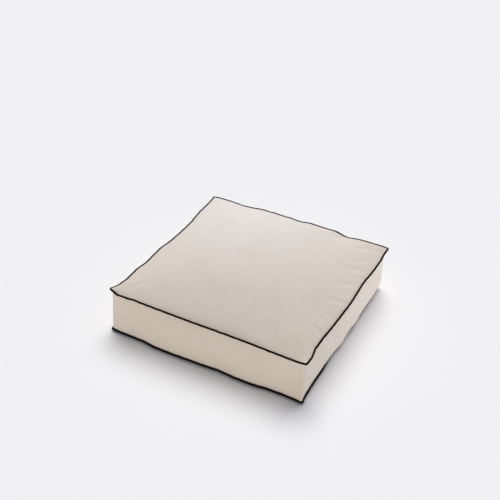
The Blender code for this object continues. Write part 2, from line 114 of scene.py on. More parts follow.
bottomDrift = {
    "front": [(0, 0, 0.5), (0.04, -1.5, 0), (0.17, -1.5, 0), (0.25, -7.5, 0), (0.33, -7.5, 0),
              (0.42, -5.5, 0), (0.5, -4, 0), (0.58, -1, 0), (0.67, -4, 0), (0.75, -3.6, 0), (0.83, 2, 0),
              (0.92, 3, 0), (0.96, 2.2, 0), (1, 0, 1)],
    "right": [(0, 0, 1), (0.04, 3.5, 0), (0.12, 4.3, 0), (0.25, 3, 0), (0.33, 5.4, 0), (0.4, 7.9, 0.5),
              (0.45, 4, 0.5), (0.5, 7, 0.5), (0.6, 5.1, 0.5), (0.63, 1.6, 0.5), (0.68, 4.4, 0.5),
              (0.88, 1.2, 0.5), (0.97, 0.4, 0), (1, 0, 1)],
    "rear": [(0, 0, 1), (0.05, 0.8, 0), (0.2, 1, 0.5), (0.35, 0, 0), (0.5, 2.5, 1), (0.65, 1.7, 0),
             (0.8, 4.4, 0.5), (0.95, 3, 0), (1, 0, 1)],
    "left": [(0, 0, 1), (0.06, 3, 0), (0.2, 5, 0), (0.4, 6.5, 0.5), (0.55, 5, 0), (0.75, 6.5, 0),
             (0.93, 3, 0), (1, 0, 0.5)],
}
# the four points are not a true square: how far each stands off it in x and y, in mm
tipShift = {1: [(0, 0), (0, 0), (0, 5), (-2, -6)], 0: [(0, 0), (0, 0), (-14, -8), (0, 0)]}
# how far each upright corner seam is pulled off the line between its two points, in mm
cornerPull = [(2.5, 2.5), (-1, 1), (-3, -3), (3, -3)]
cornerFoot = [(0, 0), (0, 0), (12, 7), (0, 0)]  # and how far the filling rolls its foot out


def smoothThrough(stations, at):
    x, y = np.array(stations, float).T
    step = np.diff(y) / np.diff(x)
    slope = np.zeros(len(x))
    same = step[:-1] * step[1:] > 0
    slope[1:-1][same] = 2 * step[:-1][same] * step[1:][same] / (step[:-1][same] + step[1:][same])
    k = np.clip(np.searchsorted(x, at, side="right") - 1, 0, len(x) - 2)
    width = x[k + 1] - x[k]
    f = (at - x[k]) / width
    return (
        y[k] * (1 + 2 * f) * (1 - f) ** 2 + slope[k] * width * f * (1 - f) ** 2
        + y[k + 1] * f * f * (3 - 2 * f) + slope[k + 1] * width * f * f * (f - 1)
    )


def wobble(side, level, t, seed):
    # the small unevenness of a hand-fed seam, quiet at the corners
    rng = np.random.default_rng(seed + side * 7 + level * 31)
    total = np.zeros_like(t)
    for wave in rng.uniform(12, 26, 5):
        total += np.sin(2 * math.pi * (wave * t + rng.uniform()))
    height, quiet = 0.13 * mm, 0.04
    return height * total * np.clip(np.minimum(t, 1 - t) / quiet, 0, 1)


def seamLine(side, level, t, inset, lift):
    # a line along one side of the top (1) or bottom (0) seam, inset from the piping's centre
    side = side % 4
    drift = (topDrift if level else bottomDrift)[sideNames[side]]
    pulled = smoothThrough([(s[0], s[1]) for s in drift], t) * mm + wobble(side, level, t, 3)
    raised = smoothThrough([(s[0], s[2]) for s in drift], t) * mm + 0.7 * wobble(side, level, t, 5)
    a, b = corners[side], corners[(side + 1) % 4]
    across = normals[side]
    along = b - a
    reach = cover["tip"] - inset
    shifts = np.array(tipShift[level]) * mm
    shift = (1 - t)[:, None] * shifts[side] + t[:, None] * shifts[(side + 1) % 4]
    out = np.zeros((len(t), 3))
    out[:, :2] = (
        across * (reach - pulled)[:, None]
        + (a - across)[None] * reach + along[None] * reach * t[:, None] + shift
    )
    out[:, 2] = (topZ if level else bottomZ) + raised + lift
    return out


def stations(length, ends, step):
    # shares along a length, close together near both ends
    ends = [e for e in ends if e < length / 2]
    inner = np.linspace(ends[-1], length - ends[-1], max(2, round((length - 2 * ends[-1]) / step) + 1))
    return np.array(ends[:-1] + list(inner) + [length - e for e in reversed(ends[:-1])]) / length


def steepRise(v, power):
    return 1 - np.abs(2 * v - 1) ** power


panelShares = stations(panelSide, [0, 1.5, 4, 8, 13], 7)
bandShares = stations(panelSide, [0, 0.9, 2.4, 4.6, 6.6, 8.0, 9.0, 10.2, 12.6, 17], 6.4)
rowShares = stations(bandTall, [0, 1.4, 3.4, 6.4, 10.5, 15.5], 6.4)
halfRows = stations(halfTall, [0, 1.2, 3, 6, 10.5], 6.4)


def rimPatch(edges, s):
    # a surface that passes through four edges, which run front, right, rear (left to right), left
    front, right, rear, left = edges
    u, v = s[None, :, None], s[:, None, None]
    flat = (1 - u) * (1 - v) * front[0] + u * (1 - v) * front[-1] + (1 - u) * v * rear[0] + u * v * rear[-1]
    return (1 - v) * front[None] + v * rear[None] + (1 - u) * left[:, None] + u * right[:, None] - flat


def panelPoints(level, s):
    # the broad form runs between straight edges, and each seam's own waves die out within a few centimetres
    lift = cover["seamUp"] * (1 if level else -1)
    lines = [seamLine(i, level, s, cover["seamIn"], lift) for i in range(4)]
    edges = [lines[0], lines[1], lines[2][::-1], lines[3][::-1]]
    base = np.zeros((4, 3))
    base[:, :2] = corners * (cover["tip"] - cover["seamIn"] - 4 * mm) + np.array(tipShift[level]) * mm
    base[:, 2] = (topZ - 3 * mm if level else bottomZ) + lift
    f = s[:, None]
    straight = [(1 - f) * base[a] + f * base[b] for a, b in ((0, 1), (1, 2), (3, 2), (0, 3))]
    points = rimPatch(straight, s)
    near = np.exp(-(s * panelSide * mm) / cover["wave"]) - np.exp(-panelSide * mm / cover["wave"])
    near /= near[0]
    far = near[::-1]
    extra = [e - b for e, b in zip(edges, straight)]
    nu, fu, nv, fv = near[None, :, None], far[None, :, None], near[:, None, None], far[:, None, None]
    points += nv * extra[0][None] + fv * extra[2][None] + nu * extra[3][:, None] + fu * extra[1][:, None]
    points -= (nu * nv * extra[0][0] + fu * nv * extra[0][-1] + nu * fv * extra[2][0]
               + fu * fv * extra[2][-1])
    if level:
        edge = np.minimum(s, 1 - s) * panelSide * mm
        # the rim rises quickly in front and at the right, and more gently at the left and the rear
        quick, slow = 1 - np.exp(-edge / cover["quickRim"]), 1 - np.exp(-edge / cover["slowRim"])
        across, up = np.where(s > 0.5, quick, slow), np.where(s < 0.5, quick, slow)
        full = np.clip(steepRise(s, 2.0), 0, 1)
        broadAcross = full ** np.where(s > 0.5, 0.85, 1.0)
        broadUp = full ** np.where(s < 0.5, 0.78, 1.0)
        points[:, :, 2] += cover["rimRise"] * across[None] * up[:, None]
        points[:, :, 2] += cover["crown"] * broadAcross[None] * broadUp[:, None]
    else:
        rise = np.clip(steepRise(s, 4), 0, 1)
        dome = (rise[None, :] * rise[:, None]) ** 0.55
        points[:, :, 2] += (cover["floorGap"] - points[:, :, 2]) * np.clip(dome * 1.9, 0, 1)
    return points


def cornerOffset(corner, v):
    # how the upright seam leaves its straight line: a quick step under the point, then back by the foot
    dx, dy = cornerPull[corner % 4]
    shape = smoothThrough([(0, 0), (0.12, 0.15), (0.5, 0.55), (0.85, 1), (0.93, 0.8), (1, 0)], v)
    fx, fy = cornerFoot[corner % 4]
    foot = (1 - np.exp(-np.maximum(v, 0) / 0.035)) * np.exp(-(v / 0.45) ** 2)
    return np.stack([(dx * shape + fx * foot) * mm, (dy * shape + fy * foot) * mm, 0 * shape], 1)


def cornerFade(away):
    return np.exp(-(away / cover["cornerReach"]) ** 1.5)


def settledLine(side, level, s, lift):
    # the seam with its short waves taken out, for the middle of a band
    fine = np.linspace(0, 1, 241)
    line = seamLine(side, level, fine, cover["seamIn"], lift)
    kernel = np.exp(-(np.linspace(-2.5, 2.5, 41)) ** 2)
    kernel /= kernel.sum()
    padded = np.concatenate([2 * line[0] - line[20:0:-1], line, 2 * line[-1] - line[-2:-22:-1]])
    calm = np.stack([np.convolve(padded[:, k], kernel, "valid") for k in range(3)], 1)
    ends = np.clip(np.minimum(fine, 1 - fine) / 0.035, 0, 1)[:, None]
    calm = line + (calm - line) * ends
    return np.stack([np.interp(s, fine, calm[:, k]) for k in range(3)], 1)


def bandPoints(side, s, rows):
    bottom = seamLine(side, 0, s, cover["seamIn"], cover["seamUp"])
    top = seamLine(side, 1, s, cover["seamIn"], -cover["seamUp"])
    calmBottom = settledLine(side, 0, s, cover["seamUp"])
    calmTop = settledLine(side, 1, s, -cover["seamUp"])
    v = rows[:, None, None]
    low, high = np.exp(-v / cover["bandWave"]), np.exp(-(1 - v) / cover["bandWave"])
    points = (1 - v) * (calmBottom[None] + (bottom - calmBottom)[None] * low) + v * (
        calmTop[None] + (top - calmTop)[None] * high)
    points[0], points[-1] = bottom, top
    distance = s * 2 * cover["tip"]
    for corner, away in ((side, distance), (side + 1, distance[::-1])):
        points += cornerOffset(corner, rows)[:, None] * cornerFade(away)[None, :, None]
    bulge = cover["bandBulge"] * steepRise(rows, 3.5)[:, None] * steepRise(s, 9)[None, :]
    if side == 1:  # the filling rolls the lower edge out and down over its seam
        where = smoothThrough(
            [(0, 0), (0.2, 0.05), (0.33, 0.5), (0.42, 0.95), (0.6, 1), (0.88, 0.9), (0.95, 0.5), (1, 0)], s)
        foot = (1 - np.exp(-rows / 0.035)) * np.exp(-(rows / 0.42) ** 2)
        bulge = bulge + cover["rollOut"] * foot[:, None] * where[None, :]
        drop = np.exp(-((rows - 0.045) / 0.06) ** 2) * (1 - np.exp(-rows / 0.015))
        points[:, :, 2] -= cover["rollDown"] * drop[:, None] * where[None, :]
    points[:, :, :2] += bulge[:, :, None] * normals[side]
    return points


def halfBandPoints(s, rows, upper):
    # the rear band is two strips, each with one edge folded along the zip
    whole = bandPoints(2, s, np.array([0.0, 1.0]))
    outer = whole[1 if upper else 0]
    lip = outer.copy()
    lip[:, 1] = cover["zipDepth"]
    # past the zip's stops the two edges are sewn together
    closed = np.clip((np.abs(outer[:, 0]) - chainHigh[0] - 4 * mm) / (9 * mm), 0, 1)
    closed = closed * closed * (3 - 2 * closed)
    gap = cover["zipGap"] * (1 - closed) + 0.25 * mm * closed
    lip[:, 2] = zipZ + gap * (1 if upper else -1)
    ends = np.clip(np.minimum(s, 1 - s) * 2 * cover["tip"] / 0.017, 0, 1) ** 0.6
    straight = topZ - bottomZ
    share = np.full(len(s), (zipZ - bottomZ) / straight)
    edge = (1 - share)[:, None] * whole[0] + share[:, None] * whole[1]
    length = 620 * mm
    corner2, corner3 = cornerFade(s * length), cornerFade((1 - s) * length)
    edge += cornerOffset(2, share) * corner2[:, None]
    edge += cornerOffset(3, share) * corner3[:, None]
    lip[:, 1] += (edge[:, 1] - lip[:, 1]) * (1 - ends)
    lip[:, 0] = edge[:, 0]
    low, high = (lip, outer) if upper else (outer, lip)
    v = rows[:, None, None]
    points = (1 - v) * low[None] + v * high[None]
    for corner, fade in ((2, corner2), (3, corner3)):
        offset = cornerOffset(corner, (points[:, 0, 2] - bottomZ) / straight)
        own = cornerOffset(corner, share[:1])[0] * (1 - rows if upper else rows)[:, None]
        points += (offset - own)[:, None] * fade[None, :, None]
    bulge = cover["rearBulge"] * steepRise(rows, 3)[:, None] * steepRise(s, 9)[None, :]
    points[:, :, 1] += bulge
    return points


def gridFaces(rows, columns, first=0):
    # the point numbers of a grid, counted from one number, and its faces
    index = np.arange(rows * columns).reshape(rows, columns) + first
    quads = np.stack([index[:-1, :-1], index[:-1, 1:], index[1:, 1:], index[1:, :-1]], -1)
    return index, quads.reshape(-1, 4)


def smoothFaces(mesh):
    mesh.polygons.foreach_set("use_smooth", [True] * len(mesh.polygons))


def gridMesh(name, points, uvs, flip=False):
    quads = gridFaces(*points.shape[:2])[1]
    if flip:
        quads = quads[:, ::-1]
    mesh = bpy.data.meshes.new(name)
    mesh.from_pydata(points.reshape(-1, 3).tolist(), [], quads.tolist())
    layer = mesh.uv_layers.new(name="UVMap")
    layer.data.foreach_set("uv", uvs.reshape(-1, 2)[quads.reshape(-1)].ravel().astype(np.float32))
    smoothFaces(mesh)
    mesh.update()
    return mesh


def addObject(name, mesh):
    obj = bpy.data.objects.new(name, mesh)
    bpy.context.scene.collection.objects.link(obj)
    return obj


def flatUv(columns, rows, width, height):
    grid = np.zeros((len(rows), len(columns), 2))
    grid[:, :, 0] = columns[None] * width
    grid[:, :, 1] = rows[:, None] * height
    return grid


def coords(mesh):
    out = np.zeros(len(mesh.vertices) * 3, np.float32)
    mesh.vertices.foreach_get("co", out)
    return out.reshape(-1, 3).astype(float)


def applyModifiers(obj):
    bpy.context.view_layer.update()
    mesh = bpy.data.meshes.new_from_object(obj.evaluated_get(bpy.context.evaluated_depsgraph_get()))
    old = obj.data
    obj.modifiers.clear()
    obj.data = mesh
    mesh.name = obj.name
    if old.users == 0:
        bpy.data.meshes.remove(old)
    return mesh


def thicken(obj, thickness, material):
    # a cloth's thickness, added inwards, and its one material
    solid = obj.modifiers.new("cloth", "SOLIDIFY")
    solid.thickness = thickness
    solid.offset = -1
    obj.data.materials.append(material)
    return obj


def subdivide(obj):
    smooth = obj.modifiers.new("smooth", "SUBSURF")
    smooth.levels = smooth.render_levels = 1
    return smooth


topUv = flatUv(panelShares, panelShares, panelSide * mm, panelSide * mm)
panels = {"coverTop": (panelPoints(1, panelShares), topUv)}
bandUv = flatUv(bandShares, rowShares, panelSide * mm, bandTall * mm)
for name, side in (("coverBandFront", 0), ("coverBandRight", 1), ("coverBandLeft", 3)):
    panels[name] = (bandPoints(side, bandShares, rowShares), bandUv)
halfUv = flatUv(bandShares, halfRows, panelSide * mm, halfTall * mm)
for name, upper in (("coverBandRearLower", False), ("coverBandRearUpper", True)):
    panels[name] = (halfBandPoints(bandShares, halfRows, upper), halfUv)

swell = {
    "frames": 20,
    "pressure": 4.0,
    "spare": 0.02,  # cloth cut this much larger than the filling
    "outward": 5 * mm,
    "inward": 0.5 * mm,
    "slide": 1.5 * mm,
    "rimWidth": 50 * mm,
    "cloth": {
        "quality": 5, "mass": 0.3, "tension_stiffness": 20, "compression_stiffness": 20,
        "shear_stiffness": 8, "bending_stiffness": 2.5, "air_damping": 1.5, "use_pressure": True,
        "vertex_group_mass": "held", "pin_stiffness": 1, "vertex_group_shrink": "spare", "shrink_min": 0,
    },
}


def swellCover(panels):
    # all panels in one mesh, held along every seam and along the zip, blown out by the filling
    names = list(panels)
    starts, verts, quads, held, rim = {}, [], [], [], []
    count = 0
    for name in names:
        points, uv = panels[name]
        m, n = points.shape[:2]
        index, faces = gridFaces(m, n, count)
        starts[name] = count
        quads += faces.tolist()
        verts.append(points.reshape(-1, 3))
        border = np.zeros((m, n), bool)
        border[[0, -1], :] = True
        border[:, [0, -1]] = True
        held += index[border].tolist()
        edge = np.minimum(uv, uv[-1, -1] - uv).min(2)
        rim.append(np.clip(1.2 - edge / swell["rimWidth"], 0.25, 1).ravel())
        count += m * n
    start = np.concatenate(verts)
    mesh = bpy.data.meshes.new("coverForm")
    mesh.from_pydata(start.tolist(), [], quads)
    form = addObject("coverForm", mesh)
    pins = form.vertex_groups.new(name="held")
    pins.add(held, 1.0, "REPLACE")
    spare = form.vertex_groups.new(name="spare")
    for i, weight in enumerate(np.concatenate(rim)):
        spare.add([i], float(weight), "REPLACE")
    sim = form.modifiers.new("swell", "CLOTH")
    cloth = sim.settings
    for setting, value in swell["cloth"].items():
        setattr(cloth, setting, value)
    cloth.uniform_pressure_force = swell["pressure"]
    cloth.shrink_max = -swell["spare"]
    cloth.effector_weights.gravity = 0
    sim.collision_settings.use_collision = False
    sim.collision_settings.use_self_collision = False
    sim.point_cache.frame_start = 1
    sim.point_cache.frame_end = swell["frames"]
    scene = bpy.context.scene
    for step in range(1, swell["frames"] + 1):
        scene.frame_set(step)
    done = form.evaluated_get(bpy.context.evaluated_depsgraph_get())
    settled = coords(done.data)
    scene.frame_set(1)
    bpy.data.objects.remove(form)
    move = settled - start
    distance = np.linalg.norm(move, axis=1) / mm
    print("cover swelled: largest move %.1f mm, mean %.2f mm" % (distance.max(), distance.mean()))
    result = {}
    for name in names:
        points, uv = panels[name]
        m, n = points.shape[:2]
        part = move[starts[name]:starts[name] + m * n].reshape(m, n, 3)
        across = np.cross(np.gradient(points, axis=1), np.gradient(points, axis=0))
        across /= np.linalg.norm(across, axis=2, keepdims=True) + 1e-12
        out = (part * across).sum(2)
        most = np.where(out > 0, swell["outward"], swell["inward"])
        kept = most * np.tanh(out / most)
        along = part - out[:, :, None] * across
        length = np.linalg.norm(along, axis=2, keepdims=True)
        along *= np.minimum(1, swell["slide"] / np.maximum(length, 1e-9))
        result[name] = (points + kept[:, :, None] * across + along, uv)
    return result


panels = swellCover(panels)
print("cover form ready")

def srgb(code):
    # "#rrggbb" to the linear colour that a shader wants
    parts = [int(code[i:i + 2], 16) / 255 for i in (1, 3, 5)]
    return [c / 12.92 if c < 0.0405 else ((c + 0.055) / 1.055) ** 2.4 for c in parts] + [1.0]


def add(tree, kind, links=None, **settings):
    # one node: settings by attribute, then its sockets, each from another socket or a value
    node = tree.nodes.new(kind)
    for key, value in settings.items():
        setattr(node, key, value)
    for key, value in (links or {}).items():
        if isinstance(value, bpy.types.NodeSocket):
            tree.links.new(value, node.inputs[key])
        else:
            node.inputs[key].default_value = value
    return node


def shade(tree, first, second, factor, blend="MIX"):
    # two colours (or a colour and a socket) mixed by a factor
    node = add(tree, "ShaderNodeMix", {0: factor, 6: first, 7: second}, data_type="RGBA", blend_type=blend)
    return node.outputs[2]


def ramp(tree, value, low, high, fromLow=0.0, fromHigh=1.0):
    node = add(tree, "ShaderNodeMapRange", {0: value, 1: fromLow, 2: fromHigh, 3: low, 4: high})
    return node.outputs[0]


def newMaterial(name, **shader):
    material = bpy.data.materials.new(name)
    material.use_nodes = True
    tree = material.node_tree
    tree.nodes.clear()
    output = tree.nodes.new("ShaderNodeOutputMaterial")
    node = add(tree, "ShaderNodeBsdfPrincipled", shader)
    tree.links.new(node.outputs[0], output.inputs[0])
    return material, tree, node


def paint(tree, shader, colour, height=None, distance=0, strength=0):
    # joins a colour to the shader, and a height as relief
    tree.links.new(colour, shader.inputs["Base Color"])
    if height is not None:
        bump = add(tree, "ShaderNodeBump", {"Height": height, "Distance": distance, "Strength": strength})
        tree.links.new(bump.outputs[0], shader.inputs["Normal"])


def noise(tree, place, scale, detail, **settings):
    inputs = {"Vector": place, "Scale": scale, "Detail": detail}
    return add(tree, "ShaderNodeTexNoise", inputs, **settings).outputs


def sine(tree, value, scale):
    turned = add(tree, "ShaderNodeMath", {0: value, 1: scale}, operation="MULTIPLY")
    return add(tree, "ShaderNodeMath", {0: turned.outputs[0]}, operation="SINE").outputs[0]


def wovenCloth(name, look):
    # a plain weave on the piece's own UV map, which is in metres
    material, tree, shader = newMaterial(
        name, Roughness=look["rough"], IOR=1.5,
        **{"Sheen Weight": look["sheen"], "Sheen Roughness": 0.5,
           "Specular IOR Level": look.get("gloss", 0.25)})
    place = add(tree, "ShaderNodeUVMap", uv_map="UVMap")
    turn = add(tree, "ShaderNodeMapping", {0: place.outputs[0], 2: (0, 0, look.get("turn", 0))})
    stray = noise(tree, turn.outputs[0], 180.0, 1.0, noise_dimensions="2D")["Color"]
    loose = add(tree, "ShaderNodeVectorMath", {0: stray, 1: (0.5, 0.5, 0.5)}, operation="SUBTRACT")
    drawn = add(tree, "ShaderNodeVectorMath", {0: loose.outputs[0], "Scale": look["pitch"] * 1.1},
                operation="SCALE")
    moved = add(tree, "ShaderNodeVectorMath", {0: turn.outputs[0], 1: drawn.outputs[0]}, operation="ADD")
    parts = add(tree, "ShaderNodeSeparateXYZ", {0: moved.outputs[0]})
    warp = sine(tree, parts.outputs[0], math.pi / look["pitch"])
    weft = sine(tree, parts.outputs[1], math.pi / look["pitch"])
    crossed = add(tree, "ShaderNodeMath", {0: warp, 1: weft}, operation="MULTIPLY").outputs[0]
    # thick and thin places in the yarn, as long streaks along the warp and the weft
    streaks = []
    for sx, sy in ((1, 0.07), (0.07, 1)):
        stretched = add(tree, "ShaderNodeMapping", {0: moved.outputs[0], 3: (sx, sy, 1)})
        yarn = {"Vector": stretched.outputs[0], "Scale": 0.45 / look["slub"], "Detail": 2.0, "Roughness": 0.6}
        streaks.append(add(tree, "ShaderNodeTexNoise", yarn, noise_dimensions="2D").outputs[0])
    both = add(tree, "ShaderNodeMath", {0: streaks[0], 1: streaks[1]}, operation="ADD").outputs[0]
    patchy = noise(tree, turn.outputs[0], 9.0, 3.0, noise_dimensions="2D")[0]
    base = shade(tree, srgb(look["dark"]), srgb(look["light"]), ramp(tree, both, 0, 1, 0.75, 1.25))
    base = shade(tree, base, srgb(look["patch"]), ramp(tree, patchy, 0, look.get("patchy", 0.3), 0.45, 0.75))
    base = shade(tree, base, srgb(look["gap"]), ramp(tree, crossed, look.get("open", 0.22), 0, -1, 0.2))
    height = add(tree, "ShaderNodeMath", {0: both, 1: crossed}, operation="ADD").outputs[0]
    paint(tree, shader, base, height, look["relief"], 0.6)
    return material


# a washed linen and cotton cloth in plain weave, unbleached: matt, slightly uneven yarn
# its thread spacing is really about 0.6 mm, drawn at 1.1 mm so that the weave shows
linen = wovenCloth("naturalLinenPlainWeave", {
    "dark": "#cdc3b8", "light": "#d3cac0", "patch": "#cbc0b4", "gap": "#bfb3a6", "pitch": 1.1 * mm,
    "slub": 1.6 * mm, "rough": 0.92, "sheen": 0.04, "relief": 0.09 * mm, "patchy": 0.5, "gloss": 0.15,
    "open": 0.16})
# black cotton cut on the bias, so its threads run at 45 degrees round the cord
biasTape = wovenCloth("blackCottonBias", {
    "dark": "#140d08", "light": "#21170f", "patch": "#18100a", "gap": "#080503", "pitch": 0.8 * mm,
    "slub": 1.2 * mm, "rough": 0.9, "sheen": 0.0, "relief": 0.1 * mm, "turn": math.radians(45), "gloss": 0.0})
# fine bleached cotton lining, flat and close
lining = wovenCloth("bleachedCottonLining", {
    "dark": "#e3e0d8", "light": "#efede7", "patch": "#e8e5de", "gap": "#c9c5ba", "pitch": 0.7 * mm,
    "slub": 1.3 * mm, "rough": 0.88, "sheen": 0.08, "relief": 0.08 * mm})
# woven polyester zip tape, a close herringbone drawn as a plain weave
tapeCloth = wovenCloth("polyesterZipTape", {
    "dark": "#c9bba9", "light": "#d6c9b8", "patch": "#cfc1af", "gap": "#a89881", "pitch": 0.6 * mm,
    "slub": 1.0 * mm, "rough": 0.7, "sheen": 0.05, "relief": 0.08 * mm, "gloss": 0.4})
# satin ribbon, bright on top because long floats lie side by side
labelSatin = wovenCloth("polyesterSatinLabel", {
    "dark": "#eae7e0", "light": "#f4f2ec", "patch": "#efece5", "gap": "#dad6cc", "pitch": 0.4 * mm,
    "slub": 0.9 * mm, "rough": 0.4, "sheen": 0.1, "relief": 0.03 * mm, "gloss": 0.5})


def fillingMaterial(name, look):
    # fibre or foam, read from object coordinates because nothing is woven there
    material, tree, shader = newMaterial(name, Roughness=0.95, IOR=1.45, **{"Sheen Weight": look["sheen"]})
    place = add(tree, "ShaderNodeTexCoord").outputs["Object"]
    stretched = add(tree, "ShaderNodeMapping", {0: place, 3: look["stretch"]}).outputs[0]
    fine = noise(tree, stretched, 1 / look["grain"], 4.0)[0]
    speckle = add(tree, "ShaderNodeTexVoronoi", {"Vector": place, "Scale": 0.7 / look["grain"]})
    cells = speckle.outputs["Distance"]
    tone = shade(tree, srgb(look["dark"]), srgb(look["light"]), fine)
    tone = shade(tree, tone, srgb(look["dark"]), ramp(tree, cells, look["cells"], 0, 0, 0.4))
    mixed = add(tree, "ShaderNodeMath", {0: fine, 1: cells}, operation="ADD").outputs[0]
    paint(tree, shader, tone, mixed, look["relief"], 0.7)
    return material


# polyester fibre batting, laid in loose white strands
fibre = fillingMaterial("polyesterFibreBatting", {
    "dark": "#dfdfdb", "light": "#f4f4f1", "stretch": (1, 1, 0.25), "grain": 2.2 * mm, "cells": 0.2,
    "sheen": 0.3, "relief": 0.8 * mm})
# flexible polyurethane foam cut from a block, open cells about 1 mm across
foamLook = fillingMaterial("cutPolyurethaneFoam", {
    "dark": "#d8c48c", "light": "#efe0b2", "stretch": (1, 1, 1), "grain": 1.2 * mm, "cells": 0.8,
    "sheen": 0.05, "relief": 0.4 * mm})


def cordMaterial():
    # three-ply cotton filler cord, twisted, so its strands run slantwise
    material, tree, shader = newMaterial("twistedCottonCord", Roughness=0.9, IOR=1.5, **{"Sheen Weight": 0.1})
    place = add(tree, "ShaderNodeUVMap", uv_map="UVMap").outputs[0]
    parts = add(tree, "ShaderNodeSeparateXYZ", {0: place})
    slant = add(tree, "ShaderNodeMath", {0: parts.outputs[0], 1: parts.outputs[1]},
                operation="ADD").outputs[0]
    strand = ramp(tree, sine(tree, slant, 2 * math.pi / (4 * mm)), 0, 1, -1, 1)
    fuzz = noise(tree, place, 900.0, 2.0)[0]
    tone = shade(tree, srgb("#cfc8b8"), srgb("#ebe6da"), strand)
    paint(tree, shader, shade(tree, tone, srgb("#ddd6c8"), fuzz), strand, 0.4 * mm, 0.8)
    return material


def nickelMaterial():
    # die-cast zinc plated with satin nickel: grey with a faint warm cast, fine cloudy polish
    material, tree, shader = newMaterial("satinNickelPlate", Metallic=1.0, Roughness=0.32)
    place = add(tree, "ShaderNodeTexCoord").outputs["Object"]
    cloud = noise(tree, place, 420.0, 3.0)[0]
    # a lighter tone on the sharp convex edges, found from the mesh's pointiness
    sharpEdges = add(tree, "ShaderNodeNewGeometry").outputs["Pointiness"]
    tone = shade(tree, srgb("#b4b0a8"), srgb("#cdcac3"), cloud)
    tone = shade(tree, tone, srgb("#dedbd4"), ramp(tree, sharpEdges, 0, 0.8, 0.5, 0.6))
    tree.links.new(ramp(tree, cloud, 0.24, 0.42), shader.inputs["Roughness"])
    paint(tree, shader, tone, cloud, 0.02 * mm, 0.4)
    return material


def nylonMaterial():
    # drawn nylon monofilament, dyed to the tape: smooth with a soft plastic shine
    material, tree, shader = newMaterial("dyedNylonCoil", Roughness=0.38, IOR=1.53)
    place = add(tree, "ShaderNodeTexCoord").outputs["Object"]
    tint = noise(tree, place, 300.0, 2.0)[0]
    paint(tree, shader, shade(tree, srgb("#c2b29c"), srgb("#d3c5b2"), tint))
    tree.links.new(ramp(tree, tint, 0.32, 0.46), shader.inputs["Roughness"])
    return material


def threadMaterial():
    # spun polyester sewing thread, two plies twisted together
    material, tree, shader = newMaterial("beigeSewingThread", Roughness=0.7, IOR=1.5, **{"Sheen Weight": 0.1})
    place = add(tree, "ShaderNodeTexCoord").outputs["Object"]
    ply = noise(tree, place, 1500.0, 1.0)[0]
    paint(tree, shader, shade(tree, srgb("#cdbfac"), srgb("#e4d8c9"), ply), ply, 0.05 * mm, 0.6)
    return material


cordCotton = cordMaterial()
nickel = nickelMaterial()
nylon = nylonMaterial()
thread = threadMaterial()
print("materials ready")

puckers = {
    "perSeam": 46,
    "depth": (0.25 * mm, 0.8 * mm),
    "width": (3.5 * mm, 7 * mm),
    "reach": (9 * mm, 30 * mm),
    "ridge": 1.0 * mm,  # seam allowance pressed to one side of an upright corner seam
    "ridgeWidth": 8.5 * mm,
    "ridgeStep": 0.45 * mm,
    "groove": 1.2 * mm,  # half width of the sunk line at the seam itself
    "lip": 1.0 * mm,  # and of the raised line at the allowance's edge
    "sunk": 1.1 * mm,  # and of the sunk line beyond it
}


def seamPuckers(along, away, length, seed, strength):
    # short creases that run square to a seam, pinched by its stitches
    rng = np.random.default_rng(seed)
    total = np.zeros_like(along)
    for _ in range(puckers["perSeam"]):
        centre = rng.uniform(0.02, 0.98) * length
        depth = rng.uniform(*puckers["depth"]) * (1 if rng.uniform() < 0.6 else -0.7)
        width = rng.uniform(*puckers["width"])
        reach = rng.uniform(*puckers["reach"])
        lean = rng.uniform(-0.35, 0.35)
        total -= depth * np.exp(-((along - centre - lean * away) / width) ** 2 - (away / reach) ** 2)
    return strength * total * (1 - np.exp(-np.maximum(away, 0) / (1.5 * mm)))


def vertexUv(mesh):
    uv = np.zeros(len(mesh.loops) * 2, np.float32)
    mesh.uv_layers["UVMap"].data.foreach_get("uv", uv)
    index = np.zeros(len(mesh.loops), np.int32)
    mesh.loops.foreach_get("vertex_index", index)
    out = np.zeros((len(mesh.vertices), 2))
    out[index] = uv.reshape(-1, 2)
    return out


def vertexNormals(mesh):
    out = np.zeros(len(mesh.vertices) * 3, np.float32)
    mesh.vertex_normals.foreach_get("vector", out)
    return out.reshape(-1, 3).astype(float)


